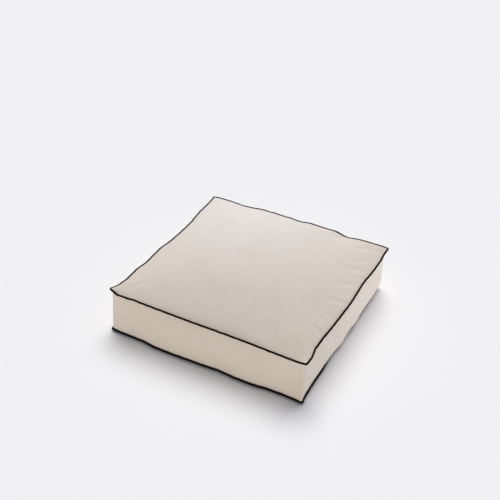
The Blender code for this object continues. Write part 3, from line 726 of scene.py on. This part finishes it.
def coverPanel(name, points, uvs, seed, flip=False, strengths=(1, 1, 1, 1), ridges=(), creases=(),
               thickness=cover["cloth"]):
    # one sewn panel: subdivided once, pinched along its seams, then given the cloth's thickness
    obj = addObject(name, gridMesh(name, points, uvs, flip))
    subdivide(obj).boundary_smooth = "PRESERVE_CORNERS"
    mesh = applyModifiers(obj)
    uv = vertexUv(mesh)
    width, height = uvs.max(axis=(0, 1))
    moved = np.zeros(len(uv))
    edges = [(uv[:, 0], uv[:, 1], width), (uv[:, 1], width - uv[:, 0], height),
             (uv[:, 0], height - uv[:, 1], width), (uv[:, 1], uv[:, 0], height)]
    for k, (along, away, length) in enumerate(edges):
        if strengths[k]:
            moved += seamPuckers(along, away, length, seed + k, strengths[k])
    for atEnd in ridges:
        away = width - uv[:, 0] if atEnd else uv[:, 0]
        band = puckers["ridgeWidth"]
        step = 1 / (1 + np.exp((away - band) / puckers["ridgeStep"]))
        groove = np.exp(-(away / puckers["groove"]) ** 2)
        lip = np.exp(-((away - band) / puckers["lip"]) ** 2)
        sunk = np.exp(-((away - band - 1.6 * mm) / puckers["sunk"]) ** 2)
        moved += puckers["ridge"] * (step - 1.2 * groove + 0.35 * lip - 1.3 * sunk)
    for (x0, y0), (x1, y1), depth, size in creases:
        line = np.array([x1 - x0, y1 - y0]) * mm
        f = ((uv - np.array([x0, y0]) * mm) @ line) / (line @ line)
        near = np.array([x0, y0]) * mm + np.clip(f, 0, 1)[:, None] * line
        gap = np.linalg.norm(uv - near, axis=1) / (size * mm)
        fade = np.clip(np.sin(np.clip(f, 0.02, 0.98) * math.pi), 0, 1) ** 0.7
        moved -= depth * mm * fade * (np.exp(-gap ** 2) - 0.6 * np.exp(-((gap - 1.7) / 0.9) ** 2))
    co = coords(mesh) + vertexNormals(mesh) * moved[:, None]
    co[:, 2] = np.maximum(co[:, 2], 0.0002)
    mesh.vertices.foreach_set("co", co.ravel().astype(np.float32))
    mesh.update()
    return thicken(obj, thickness, linen)


def addHem(points, uvs, upper):
    # the raw edge beside the zip is folded under and lies between the strip and the zip tape
    lip, lipUv = (points[0], uvs[0]) if upper else (points[-1], uvs[-1])
    sign = 1 if upper else -1
    rows, marks = [], []
    fold = ((1.4, 8.0, 9.2), (1.4, 3.0, 4.2), (1.4, 0.5, 1.7), (1.1, 0.05, 1.2), (0.3, 0.05, 0.4))
    for inward, back, flat in fold:
        row, mark = lip.copy(), lipUv.copy()
        row[:, 1] -= inward * mm
        row[:, 2] += sign * (back - 0.4) * mm
        mark[:, 1] -= sign * flat * mm
        rows.append(row)
        marks.append(mark)
    rows, marks = np.array(rows), np.array(marks)
    if upper:
        return np.concatenate([rows, points]), np.concatenate([marks, uvs])
    return np.concatenate([points, rows[::-1]]), np.concatenate([uvs, marks[::-1]])


for name, upper in (("coverBandRearUpper", True), ("coverBandRearLower", False)):
    panels[name] = addHem(*panels[name], upper)

pieces = {}
# creases: start and end on the panel in mm, depth and half width in mm
plan = [
    ("coverTop", 11, (0.4, 0.5, 0.35, 0.35), (), [
        ((606, 128), (560, 150), 0.5, 8), ((606, 205), (570, 216), 0.45, 8),
        ((606, 292), (556, 270), 0.7, 11), ((606, 384), (548, 350), 0.8, 12),
        ((604, 462), (536, 440), 0.95, 13), ((602, 530), (548, 488), 0.6, 10),
        ((590, 590), (520, 552), 0.8, 12), ((20, 20), (80, 88), 0.7, 10), ((592, 20), (540, 74), 0.7, 10),
        ((20, 592), (72, 545), 0.6, 10), ((14, 150), (62, 160), 0.5, 10)]),
    ("coverBandFront", 31, (0.4, 0, 0.6, 0), (True,), [
        ((566, 122), (600, 114), 1.1, 4), ((540, 104), (590, 96), 0.6, 5),
        ((60, 120), (48, 40), 0.7, 9), ((24, 128), (30, 70), 0.7, 7)]),
    ("coverBandRight", 51, (0.8, 0, 0.9, 0), (), [
        ((210, 132), (196, 30), 1.6, 9), ((262, 130), (276, 40), 1.3, 8), ((330, 128), (322, 24), 1.4, 9),
        ((430, 120), (446, 30), 1.1, 8), ((520, 124), (508, 50), 1.2, 8), ((26, 118), (70, 96), 0.9, 5)]),
    ("coverBandLeft", 71, (0.7, 0, 0.8, 0), (True, False), []),
    ("coverBandRearLower", 91, (0.7, 0, 0.25, 0), (True,), []),
    ("coverBandRearUpper", 111, (0.25, 0, 0.7, 0), (True,), []),
]
for name, seed, strengths, ridges, creases in plan:
    points, uvs = panels[name]
    thickness = cover["stripCloth"] if "Rear" in name else cover["cloth"]
    pieces[name] = coverPanel(name, points, uvs, seed, False, strengths, ridges, creases, thickness)
pieces["coverBottom"] = coverPanel(
    "coverBottom", panelPoints(0, panelShares), topUv, 131, True, (0.5, 0.5, 0.5, 0.5))
print("cover panels ready")

def pipingPath(level):
    # the whole seam as one closed line, its corners turned on a small radius
    share = np.linspace(0, 1, 221)
    turn = 4.2 * mm
    path, corner = [], []
    for side in range(4):
        line = seamLine(side, level, share, 0, 0)
        keep = (share * 2 * cover["tip"] > turn) & ((1 - share) * 2 * cover["tip"] > turn)
        following = seamLine(side + 1, level, share, 0, 0)
        start = line[keep][-1]
        end = following[keep][0]
        tip = line[-1]
        path += list(line[keep])
        corner += [0] * keep.sum()
        for f in np.linspace(0, 1, 9)[1:-1]:
            path.append((1 - f) ** 2 * start + 2 * f * (1 - f) * tip + f * f * end)
            corner.append(1)
    return np.array(path), np.array(corner)


def runLength(line):
    # the distance along a line to each of its points
    return np.concatenate([[0], np.cumsum(np.linalg.norm(np.diff(line, axis=0), axis=1))])


def sweep(name, path, profile, scale=None):
    # a closed profile carried round a closed path: x of the profile points out, y points up
    n, k = len(path), len(profile)
    tangent = np.roll(path, -1, 0) - np.roll(path, 1, 0)
    tangent /= np.linalg.norm(tangent, axis=1, keepdims=True)
    out = np.cross(tangent, np.array([0, 0, 1.0]))
    out /= np.linalg.norm(out, axis=1, keepdims=True)
    up = np.cross(out, tangent)
    shape = np.repeat(profile[None], n, 0)
    if scale is not None:
        shape = scale(shape)
    points = path[:, None] + shape[:, :, :1] * out[:, None] + shape[:, :, 1:] * up[:, None]
    index = np.arange(n * k).reshape(n, k)
    ahead, beside = np.roll(index, -1, 0), np.roll(index, -1, 1)
    both = np.roll(ahead, -1, 1)
    quads = np.stack([index, beside, both, ahead], -1).reshape(-1, 4)
    mesh = bpy.data.meshes.new(name)
    mesh.from_pydata(points.reshape(-1, 3).tolist(), [], quads.tolist())
    length = runLength(np.vstack([path, path[:1]]))
    around = runLength(np.vstack([profile, profile[:1]]))
    a, b = np.meshgrid(np.arange(n), np.arange(k), indexing="ij")
    uv = np.stack([
        np.stack([length[a], around[b]], -1), np.stack([length[a], around[b + 1]], -1),
        np.stack([length[a + 1], around[b + 1]], -1), np.stack([length[a + 1], around[b]], -1)], 2)
    layer = mesh.uv_layers.new(name="UVMap")
    layer.data.foreach_set("uv", uv.reshape(-1).astype(np.float32))
    smoothFaces(mesh)
    mesh.update()
    return addObject(name, mesh)


piping = {
    "sleeve": 2.8 * mm, "cloth": 0.5 * mm, "cord": 2.2 * mm,
    "tail": 6.5 * mm, "bend": 3.7 * mm, "drop": 2.6 * mm,  # the raw edges, measured in from the cord's centre
    "cornerTail": 0.42,  # share of the tail left at a corner, where its edges are clipped away
}


def sleeveProfile(drop):
    # bias strip folded round the cord, both raw edges together inside the seam and bent into the cover
    outer = np.radians(np.linspace(168, -168, 25))
    inner = np.radians(np.linspace(-172, 172, 19))
    r, t = piping["sleeve"], piping["cloth"]
    first = [(r * math.cos(a), r * math.sin(a)) for a in outer]
    last = [((r - t) * math.cos(a), (r - t) * math.sin(a)) for a in inner]
    ply = 0.06 * mm
    ends, bend = -piping["tail"], -piping["bend"]
    over = [(ends, t * 0.95 - drop), (bend, t * 0.95)]
    under = [(bend, -t * 0.95), (ends, -t * 0.95 - drop), (ends, -ply - drop), (bend, -ply)]
    return np.array(over + first + under + last + [(bend, ply), (ends, ply - drop)])


for level, label in ((1, "Top"), (0, "Bottom")):
    path, corner = pipingPath(level)
    reach = np.ones(len(path))
    for i in np.flatnonzero(corner):
        for j in range(-14, 15):
            k = (i + j) % len(path)
            gap = np.linalg.norm(path[k] - path[i])
            reach[k] = min(reach[k], piping["cornerTail"] + gap / (9 * mm))

    def shorten(shape):
        tailed = shape[:, :, 0] < -piping["sleeve"]
        short = np.minimum(shape[:, :, 0] * np.clip(reach, 0, 1)[:, None], -piping["sleeve"] - 0.3 * mm)
        shape[:, :, 0] = np.where(tailed, short, shape[:, :, 0])
        return shape

    profile = sleeveProfile(piping["drop"] * (1 if level else -1))
    sleeve = sweep("pipingSleeve" + label, path, profile, shorten)
    sleeve.data.materials.append(biasTape)
    angles = np.radians(np.linspace(0, -360, 11)[:-1])
    round10 = np.stack([piping["cord"] * np.cos(angles), piping["cord"] * np.sin(angles)], 1)
    filler = sweep("pipingCord" + label, path, round10)
    filler.data.materials.append(cordCotton)
    print("piping %s ready, %.3f m" % (label, runLength(np.vstack([path, path[:1]]))[-1]))
    pieces["sleeve" + label] = sleeve
    pieces["cord" + label] = filler

zipLook = {
    "pitch": 1.44 * mm,
    "coilStart": chainLow[0],
    "coilLength": chainHigh[0] - chainLow[0],
    "coilWidth": 3.3 * mm,
    "coilHeight": 1.25 * mm,
    "coilCentre": 1.45 * mm,  # from the zip's line to the middle of one coil
    "wire": 0.26 * mm,
    "tapeThickness": 0.45 * mm,
    "stitchPitch": 3.2 * mm,
    "stitchLength": 2.7 * mm,
    "threadRadius": 0.22 * mm,
    "stitchIn": 2.6 * mm,
}


def nodeTree(name, inputs):
    # a geometry tree with its named inputs; returns the tree, its input sockets and an output finisher
    tree = bpy.data.node_groups.new(name, "GeometryNodeTree")
    tree.interface.new_socket(name="Geometry", in_out="INPUT", socket_type="NodeSocketGeometry")
    for label, kind in inputs:
        tree.interface.new_socket(name=label, in_out="INPUT", socket_type=kind)
    tree.interface.new_socket(name="Geometry", in_out="OUTPUT", socket_type="NodeSocketGeometry")
    start = tree.nodes.new("NodeGroupInput")
    end = tree.nodes.new("NodeGroupOutput")

    def close(geometry, material):
        real = add(tree, "GeometryNodeRealizeInstances", {0: geometry})
        coloured = add(tree, "GeometryNodeSetMaterial", {"Geometry": real.outputs[0], "Material": material})
        tree.links.new(coloured.outputs[0], end.inputs[0])

    return tree, {socket.name: socket for socket in start.outputs if socket.name}, close


def bakeNodes(obj, tree, values):
    # sets each input by its identifier, then keeps the result as a plain mesh
    mod = obj.modifiers.new("nodes", "NODES")
    mod.node_group = tree
    for item in tree.interface.items_tree:
        if item.item_type == "SOCKET" and item.in_out == "INPUT" and item.name in values:
            mod[item.identifier] = values[item.name]
    smoothFaces(applyModifiers(obj))


def coilNodes():
    inputs = [("Turns", "NodeSocketFloat"), ("Length", "NodeSocketFloat"), ("Half Width", "NodeSocketFloat"),
              ("Flatness", "NodeSocketFloat"), ("Wire", "NodeSocketFloat"), ("Place", "NodeSocketVector"),
              ("Phase", "NodeSocketFloat"), ("Finish", "NodeSocketMaterial")]
    tree, value, close = nodeTree("coilOfLoops", inputs)
    helix = add(tree, "GeometryNodeCurveSpiral", {
        "Resolution": 8, "Rotations": value["Turns"], "Start Radius": value["Half Width"],
        "End Radius": value["Half Width"], "Height": value["Length"]})
    phase = add(tree, "ShaderNodeCombineXYZ", {"Z": value["Phase"]})
    turned = add(tree, "GeometryNodeTransform", {"Geometry": helix.outputs[0], "Rotation": phase.outputs[0]})
    flat = add(tree, "ShaderNodeCombineXYZ", {"X": 1.0, "Y": value["Flatness"], "Z": 1.0})
    pressed = add(tree, "GeometryNodeTransform", {"Geometry": turned.outputs[0], "Scale": flat.outputs[0]})
    laid = add(tree, "GeometryNodeTransform", {
        "Geometry": pressed.outputs[0], "Rotation": (0, math.pi / 2, 0), "Translation": value["Place"]})
    ring = add(tree, "GeometryNodeCurvePrimitiveCircle", {"Resolution": 5, "Radius": value["Wire"]})
    wire = add(tree, "GeometryNodeCurveToMesh", {
        "Curve": laid.outputs[0], "Profile Curve": ring.outputs[0], "Fill Caps": True})
    close(wire.outputs[0], value["Finish"])
    return tree


def stitchNodes():
    inputs = [("Pitch", "NodeSocketFloat"), ("Stitch Length", "NodeSocketFloat"),
              ("Thread", "NodeSocketFloat"), ("Finish", "NodeSocketMaterial")]
    tree, value, close = nodeTree("rowOfStitches", inputs)
    line = add(tree, "GeometryNodeMeshToCurve", {"Mesh": value["Geometry"]})
    points = add(tree, "GeometryNodeResampleCurve", {"Curve": line.outputs[0], "Length": value["Pitch"]},
                 mode="LENGTH")
    bead = add(tree, "GeometryNodeMeshUVSphere", {"Segments": 6, "Rings": 5, "Radius": 1.0})
    half = add(tree, "ShaderNodeMath", {0: value["Stitch Length"], 1: 0.5}, operation="MULTIPLY")
    size = add(tree, "ShaderNodeCombineXYZ",
               {"X": value["Thread"], "Y": value["Thread"], "Z": half.outputs[0]})
    stitch = add(tree, "GeometryNodeTransform", {"Geometry": bead.outputs[0], "Scale": size.outputs[0]})
    tangent = add(tree, "GeometryNodeInputTangent")
    turn = add(tree, "FunctionNodeAlignRotationToVector", {"Vector": tangent.outputs[0]}, axis="Z")
    placed = add(tree, "GeometryNodeInstanceOnPoints", {
        "Points": points.outputs[0], "Instance": stitch.outputs["Geometry"], "Rotation": turn.outputs[0]})
    close(placed.outputs[0], value["Finish"])
    return tree


def lineMesh(name, points):
    mesh = bpy.data.meshes.new(name)
    mesh.from_pydata([tuple(p) for p in points], [(i, i + 1) for i in range(len(points) - 1)], [])
    return mesh


coilTree = coilNodes()
stitchTree = stitchNodes()
chainMiddle = (chainLow[1] + chainHigh[1]) / 2
for label, sign in (("Upper", 1), ("Lower", -1)):
    coil = addObject("zipCoil" + label, bpy.data.meshes.new("zipCoil" + label))
    bakeNodes(coil, coilTree, {
        "Turns": zipLook["coilLength"] / zipLook["pitch"],
        "Length": zipLook["coilLength"],
        "Half Width": zipLook["coilWidth"] / 2 - zipLook["wire"],
        "Flatness": ((zipLook["coilHeight"] - 2 * zipLook["wire"])
                     / (zipLook["coilWidth"] - 2 * zipLook["wire"])),
        "Wire": zipLook["wire"],
        "Place": (zipLook["coilStart"], chainMiddle, zipZ + sign * zipLook["coilCentre"]),
        "Phase": 0.0 if sign > 0 else math.pi,
        "Finish": nylon,
    })
    pieces["coil" + label] = coil
    low, high = (tapeLow, tapeHigh) if sign > 0 else (lowerTapeLow, lowerTapeHigh)
    columns = np.linspace(0, 1, 97)
    rows = np.linspace(0, 1, 7)
    tape = np.zeros((len(rows), len(columns), 3))
    tape[:, :, 0] = high[0] + (low[0] - high[0]) * columns[None]
    tape[:, :, 1] = high[1] - 0.02 * mm - 0.05 * mm * (1 + np.sin(columns * 41 + rows[:, None] * 2.0))
    tape[:, :, 2] = low[2] + (high[2] - low[2]) * rows[:, None]
    tapeUv = flatUv(columns, rows, high[0] - low[0], high[2] - low[2])
    ribbon = addObject("zipTape" + label, gridMesh("zipTape" + label, tape, tapeUv))
    pieces["tape" + label] = thicken(ribbon, zipLook["tapeThickness"], tapeCloth)

    # one row of topstitching through the folded edge, following the strip's own surface
    strip = pieces["coverBandRear" + label]
    rowZ = zipZ + sign * (cover["zipGap"] + zipLook["stitchIn"])
    bpy.context.view_layer.update()
    line = []
    for x in np.linspace(-0.290, 0.290, 117):
        hit, place = strip.ray_cast(Vector((x, 0.36, rowZ)), Vector((0, -1, 0)))[:2]
        if hit:
            line.append(place + Vector((0, 0.08 * mm, 0)))
    row = addObject("zipStitches" + label, lineMesh("zipStitches" + label, line))
    bakeNodes(row, stitchTree, {
        "Pitch": zipLook["stitchPitch"], "Stitch Length": zipLook["stitchLength"],
        "Thread": zipLook["threadRadius"], "Finish": thread})
    pieces["stitches" + label] = row
for name in ("zip_slider", "zip_pull_tab", "zip_top_stop_upper", "zip_top_stop_lower", "zip_bottom_stop"):
    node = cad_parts[name]
    node.data.materials.clear()
    node.data.materials.append(nickel)
print("zip ready")

inner = {
    "liner": 286 * mm, "linerLow": 3.2 * mm, "linerHigh": 144.5 * mm, "linerCrown": 11.5 * mm,
    "lining": 0.4 * mm,
    "wadding": 284.5 * mm, "waddingThick": 9 * mm, "foam": 273.5 * mm,
    "foamLow": foamLow[2] + 0.5 * mm, "foamHigh": foamHigh[2] - 0.5 * mm,
}


def softSheet(name, points, uvs, thickness, material, flip=False, close=False):
    obj = addObject(name, gridMesh(name, points, uvs, flip))
    if close:
        weld = obj.modifiers.new("weld", "WELD")
        weld.merge_threshold = 0.05 * mm
        applyModifiers(obj)
    return thicken(obj, thickness, material)


shares = np.linspace(0, 1, 13)
label = np.zeros((len(shares), len(shares), 3))
label[:, :, 0] = labelHigh[0] + (labelLow[0] - labelHigh[0]) * shares[None]
label[:, :, 2] = labelLow[2] + (labelHigh[2] - labelLow[2]) * shares[:, None]
label[:, :, 1] = labelHigh[1] - 1.2 * mm * shares[:, None] ** 2 * (1 + 0.3 * np.cos(5 * shares[None]))
labelUv = flatUv(shares, shares, 30 * mm, 40 * mm)
pieces["label"] = softSheet("careLabel", label, labelUv, 0.25 * mm, labelSatin)


def domed(half, level, crown, count=49):
    s = np.linspace(0, 1, count)
    a = 2 * s - 1
    dome = np.clip((1 - a[None] ** 4) * (1 - a[:, None] ** 4), 0, 1) ** 0.55
    ripple = 0.3 * mm * np.sin(a[None] * 23 + 2 * a[:, None]) * np.sin(a[:, None] * 19)
    points = np.zeros((count, count, 3))
    points[:, :, 0] = half * a[None]
    points[:, :, 1] = half * a[:, None]
    points[:, :, 2] = level + crown * dome + ripple * dome
    return points, flatUv(s, s, 2 * half, 2 * half)


def roundedSquare(half, radius, each=40):
    path = []
    for k in range(4):
        a, b, n = corners[k], corners[(k + 1) % 4], normals[k]
        along = (b - a) / 2
        for f in np.linspace(-1, 1, each):
            path.append((*(n * half + along * f * (half - radius)), 0))
        turn = math.atan2(n[1], n[0])
        centre = b * (half - radius)
        for f in np.linspace(0, math.pi / 2, 7)[1:-1]:
            path.append((centre[0] + radius * math.cos(turn + f), centre[1] + radius * math.sin(turn + f), 0))
    return np.array(path)


linerTop, linerUv = domed(inner["liner"] - 1 * mm, inner["linerHigh"], inner["linerCrown"])
pieces["linerTop"] = softSheet("linerTop", linerTop, linerUv, inner["lining"], lining)
linerBottom, linerUv = domed(inner["liner"] - 1 * mm, inner["linerLow"] + 3 * mm, -3.2 * mm)
pieces["linerBottom"] = softSheet("linerBottom", linerBottom, linerUv, inner["lining"], lining, flip=True)
ring = roundedSquare(inner["liner"], 6 * mm)
ring = np.vstack([ring, ring[:1]])
band = np.repeat(ring[None], len(shares), 0)
low, high = inner["linerLow"] + 4 * mm, inner["linerHigh"] - 1 * mm
band[:, :, 2] = low + (high - low) * shares[:, None]
linerUv = np.stack([np.repeat(runLength(ring)[None], len(shares), 0), band[:, :, 2]], 2)
pieces["linerBand"] = softSheet("linerBand", band, linerUv, inner["lining"], lining, close=True)


def slab(name, half, lowLevel, lowCrown, highLevel, highCrown, material):
    # a closed pad between two crowned faces, its rim rounded by one subdivision
    count, tuck = 41, 0.993
    shrink = np.array([tuck, tuck, 1])
    low = domed(half, lowLevel, lowCrown, count)[0]
    high = domed(half, highLevel, highCrown, count)[0]
    verts = np.vstack([(low * shrink).reshape(-1, 3), (high * shrink).reshape(-1, 3)])
    index, faces = gridFaces(count, count)
    above = count * count
    quads = [q[::-1] for q in faces] + [q + above for q in faces]
    loop = list(index[0, :]) + list(index[1:, -1]) + list(index[-1, -2::-1]) + list(index[-2:0:-1, 0])
    middle = verts[loop] * 0.5 + verts[np.array(loop) + above] * 0.5
    middle[:, :2] /= tuck
    base = len(verts)
    verts = np.vstack([verts, middle])
    for i, here in enumerate(loop):
        j = (i + 1) % len(loop)
        quads.append([here, loop[j], base + j, base + i])
        quads.append([base + i, base + j, loop[j] + above, here + above])
    mesh = bpy.data.meshes.new(name)
    mesh.from_pydata(verts.tolist(), [], [list(map(int, q)) for q in quads])
    smoothFaces(mesh)
    obj = addObject(name, mesh)
    subdivide(obj)
    applyModifiers(obj)
    obj.data.materials.append(material)
    return obj


pieces["waddingTop"] = slab("waddingTop", inner["wadding"] - 1 * mm, inner["foamHigh"] + 0.8 * mm, 0,
                            inner["linerHigh"] - 1.6 * mm, inner["linerCrown"] - 0.3 * mm, fibre)
pieces["waddingBottom"] = slab("waddingBottom", inner["wadding"] - 1 * mm, inner["linerLow"] + 4.4 * mm,
                               -3.0 * mm, inner["foamLow"] - 0.8 * mm, 0, fibre)
pieces["foam"] = slab("foamCore", inner["foam"], inner["foamLow"], 0, inner["foamHigh"], 0, foamLook)
half = inner["waddingThick"] / 2
tall = (inner["foamHigh"] - inner["foamLow"]) / 2
curve = np.radians(np.linspace(0, -360, 33)[:-1])
oval = np.stack([half * np.sign(np.cos(curve)) * np.abs(np.cos(curve)) ** 0.4,
                 tall * np.sign(np.sin(curve)) * np.abs(np.sin(curve)) ** 0.4], 1)
wrap = roundedSquare(inner["wadding"] - half, 8 * mm)
wrap[:, 2] = (inner["foamLow"] + inner["foamHigh"]) / 2
pieces["waddingBand"] = sweep("waddingBand", wrap, oval)
pieces["waddingBand"].data.materials.append(fibre)
print("filling ready")

table = {  # piece: slot, nodes it stands for
    "coverTop": ("cover_weave", "cover_top_panel"),
    "coverBottom": ("cover_weave", "cover_bottom_panel"),
    "coverBandFront": ("cover_weave", "cover_band_front"),
    "coverBandRight": ("cover_weave", "cover_band_right"),
    "coverBandLeft": ("cover_weave", "cover_band_left"),
    "coverBandRearLower": ("cover_weave", "cover_band_rear_lower"),
    "coverBandRearUpper": ("cover_weave", "cover_band_rear_upper"),
    "sleeveTop": ("piping_bias", "piping_sleeve_top"),
    "sleeveBottom": ("piping_bias", "piping_sleeve_bottom"),
    "cordTop": ("filler_cord", "piping_cord_top"),
    "cordBottom": ("filler_cord", "piping_cord_bottom"),
    "tapeUpper": ("zip_tape", "zip_tape_upper"),
    "tapeLower": ("zip_tape", "zip_tape_lower"),
    "coilUpper": ("zip_coil", "zip_chain_upper"),
    "coilLower": ("zip_coil", "zip_chain_lower"),
    "stitchesUpper": ("cover_weave", None),
    "stitchesLower": ("cover_weave", None),
    "label": ("label_satin", "care_label"),
    "linerTop": ("lining", "liner_top_panel"),
    "linerBottom": ("lining", "liner_bottom_panel"),
    "linerBand": ("lining", "liner_band"),
    "waddingTop": ("wadding", "wadding_top"),
    "waddingBottom": ("wadding", "wadding_bottom"),
    "waddingBand": ("wadding", "wadding_band"),
    "foam": ("foam", "foam_core"),
}
for name, (finish, node) in table.items():
    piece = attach(pieces[name], "cushion")
    if node:
        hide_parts(node)
print("pieces placed: %d" % len(table))

studio = {
    "ambient": 0.362, "ambientColour": "#f1f5ff",
    "key": {"strength": 0.77, "from": (-0.17, 0.43, 0.88), "wide": 44, "colour": "#fffdf9"},
    "rake": {"strength": 0.87, "from": (-0.34, 0.68, 0.65), "wide": 40, "colour": "#fff3e4"},
    "warm": {"strength": 0.41, "from": (-0.2, -1.0, -0.1), "wide": 50, "colour": "#fff4e4"},
    # softboxes near the cushion: watts, place, aim, width in metres
    "back": {"power": 3.5, "at": (-0.30, 0.50, 0.80), "aim": (0, 0.1, 0.15), "size": 0.5,
             "colour": "#c2dbff"},
    "side": {"power": 13.4, "at": (1.6, 0.70, 0.12), "aim": (0.3, 0, 0.07), "size": 0.7,
             "colour": "#f6f8fd"},
}
floorMesh = bpy.data.meshes.new("studioFloor")
reach = 14.0
floorMesh.from_pydata([(x * reach, y * reach, 0) for x, y in corners], [], [(0, 1, 2, 3)])
floor = addObject("studioFloor", floorMesh)
paper, paperTree, paperShader = newMaterial("paperSweep", Roughness=0.95)
grain = noise(paperTree, add(paperTree, "ShaderNodeTexCoord").outputs["Object"], 3.0, 2.0)[0]
paint(paperTree, paperShader, shade(paperTree, srgb("#efeff1"), srgb("#f1f1f3"), grain))
floorMesh.materials.append(paper)

world = bpy.data.worlds.new("studio")
bpy.context.scene.world = world
world.use_nodes = True
sky = world.node_tree
sky.nodes.clear()
glow = add(sky, "ShaderNodeBackground", {0: srgb(studio["ambientColour"]), 1: studio["ambient"]})
seen = add(sky, "ShaderNodeBackground", {0: srgb("#f1f1f3"), 1: 1.0})
isCamera = add(sky, "ShaderNodeLightPath").outputs["Is Camera Ray"]
either = add(sky, "ShaderNodeMixShader", {0: isCamera, 1: glow.outputs[0], 2: seen.outputs[0]})
skyOut = sky.nodes.new("ShaderNodeOutputWorld")
sky.links.new(either.outputs[0], skyOut.inputs[0])

lit = bpy.data.collections.new("cushionOnly")
floorOnly = bpy.data.collections.new("floorOnly")
floorOnly.objects.link(floor)
for piece in [*pieces.values(), *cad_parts.values()]:
    lit.objects.link(piece)
for label in ("key", "rake", "warm", "back", "side"):
    look = studio[label]
    light = bpy.data.lights.new(label + "Light", "SUN" if "strength" in look else "AREA")
    light.color = srgb(look["colour"])[:3]
    lamp = bpy.data.objects.new(label + "Light", light)
    bpy.context.scene.collection.objects.link(lamp)
    if "strength" in look:
        light.energy = look["strength"] * math.pi
        light.angle = math.radians(look["wide"])
        source = Vector(look["from"])
    else:
        light.energy = look["power"]
        light.shape = "DISK"
        light.size = look["size"]
        lamp.location = look["at"]
        source = Vector(look["at"]) - Vector(look["aim"])
    lamp.rotation_euler = source.to_track_quat("Z", "Y").to_euler()
    # the key casts the floor's one soft shadow, and the others shape the cloth
    lamp.light_linking.receiver_collection = floorOnly if label == "key" else lit
    if label != "key":
        lamp.light_linking.blocker_collection = lit

camera = {
    "azimuth": 25.55, "elevation": 34.50, "roll": 3.28,  # degrees
    "distance": 2.994, "lens": 63.95,
    "target": (-0.1484, 0.2666, 0.0065),
}
azimuth, elevation = math.radians(camera["azimuth"]), math.radians(camera["elevation"])
flat = math.cos(elevation)
back = Vector((math.sin(azimuth) * flat, -math.cos(azimuth) * flat, math.sin(elevation)))
right = Vector((math.cos(azimuth), math.sin(azimuth), 0))
up = back.cross(right)
roll = math.radians(camera["roll"])
right, up = right * math.cos(roll) + up * math.sin(roll), up * math.cos(roll) - right * math.sin(roll)
lensData = bpy.data.cameras.new("camera")
lensData.lens = camera["lens"]
lensData.sensor_width = 36
lensData.clip_end = 100
eye = bpy.data.objects.new("camera", lensData)
bpy.context.scene.collection.objects.link(eye)
place = Vector(camera["target"]) + back * camera["distance"]
eye.matrix_world = Matrix.Translation(place) @ Matrix((right, up, back)).transposed().to_4x4()
bpy.context.scene.camera = eye
bpy.context.scene.view_settings.view_transform = "Standard"
print("studio ready")
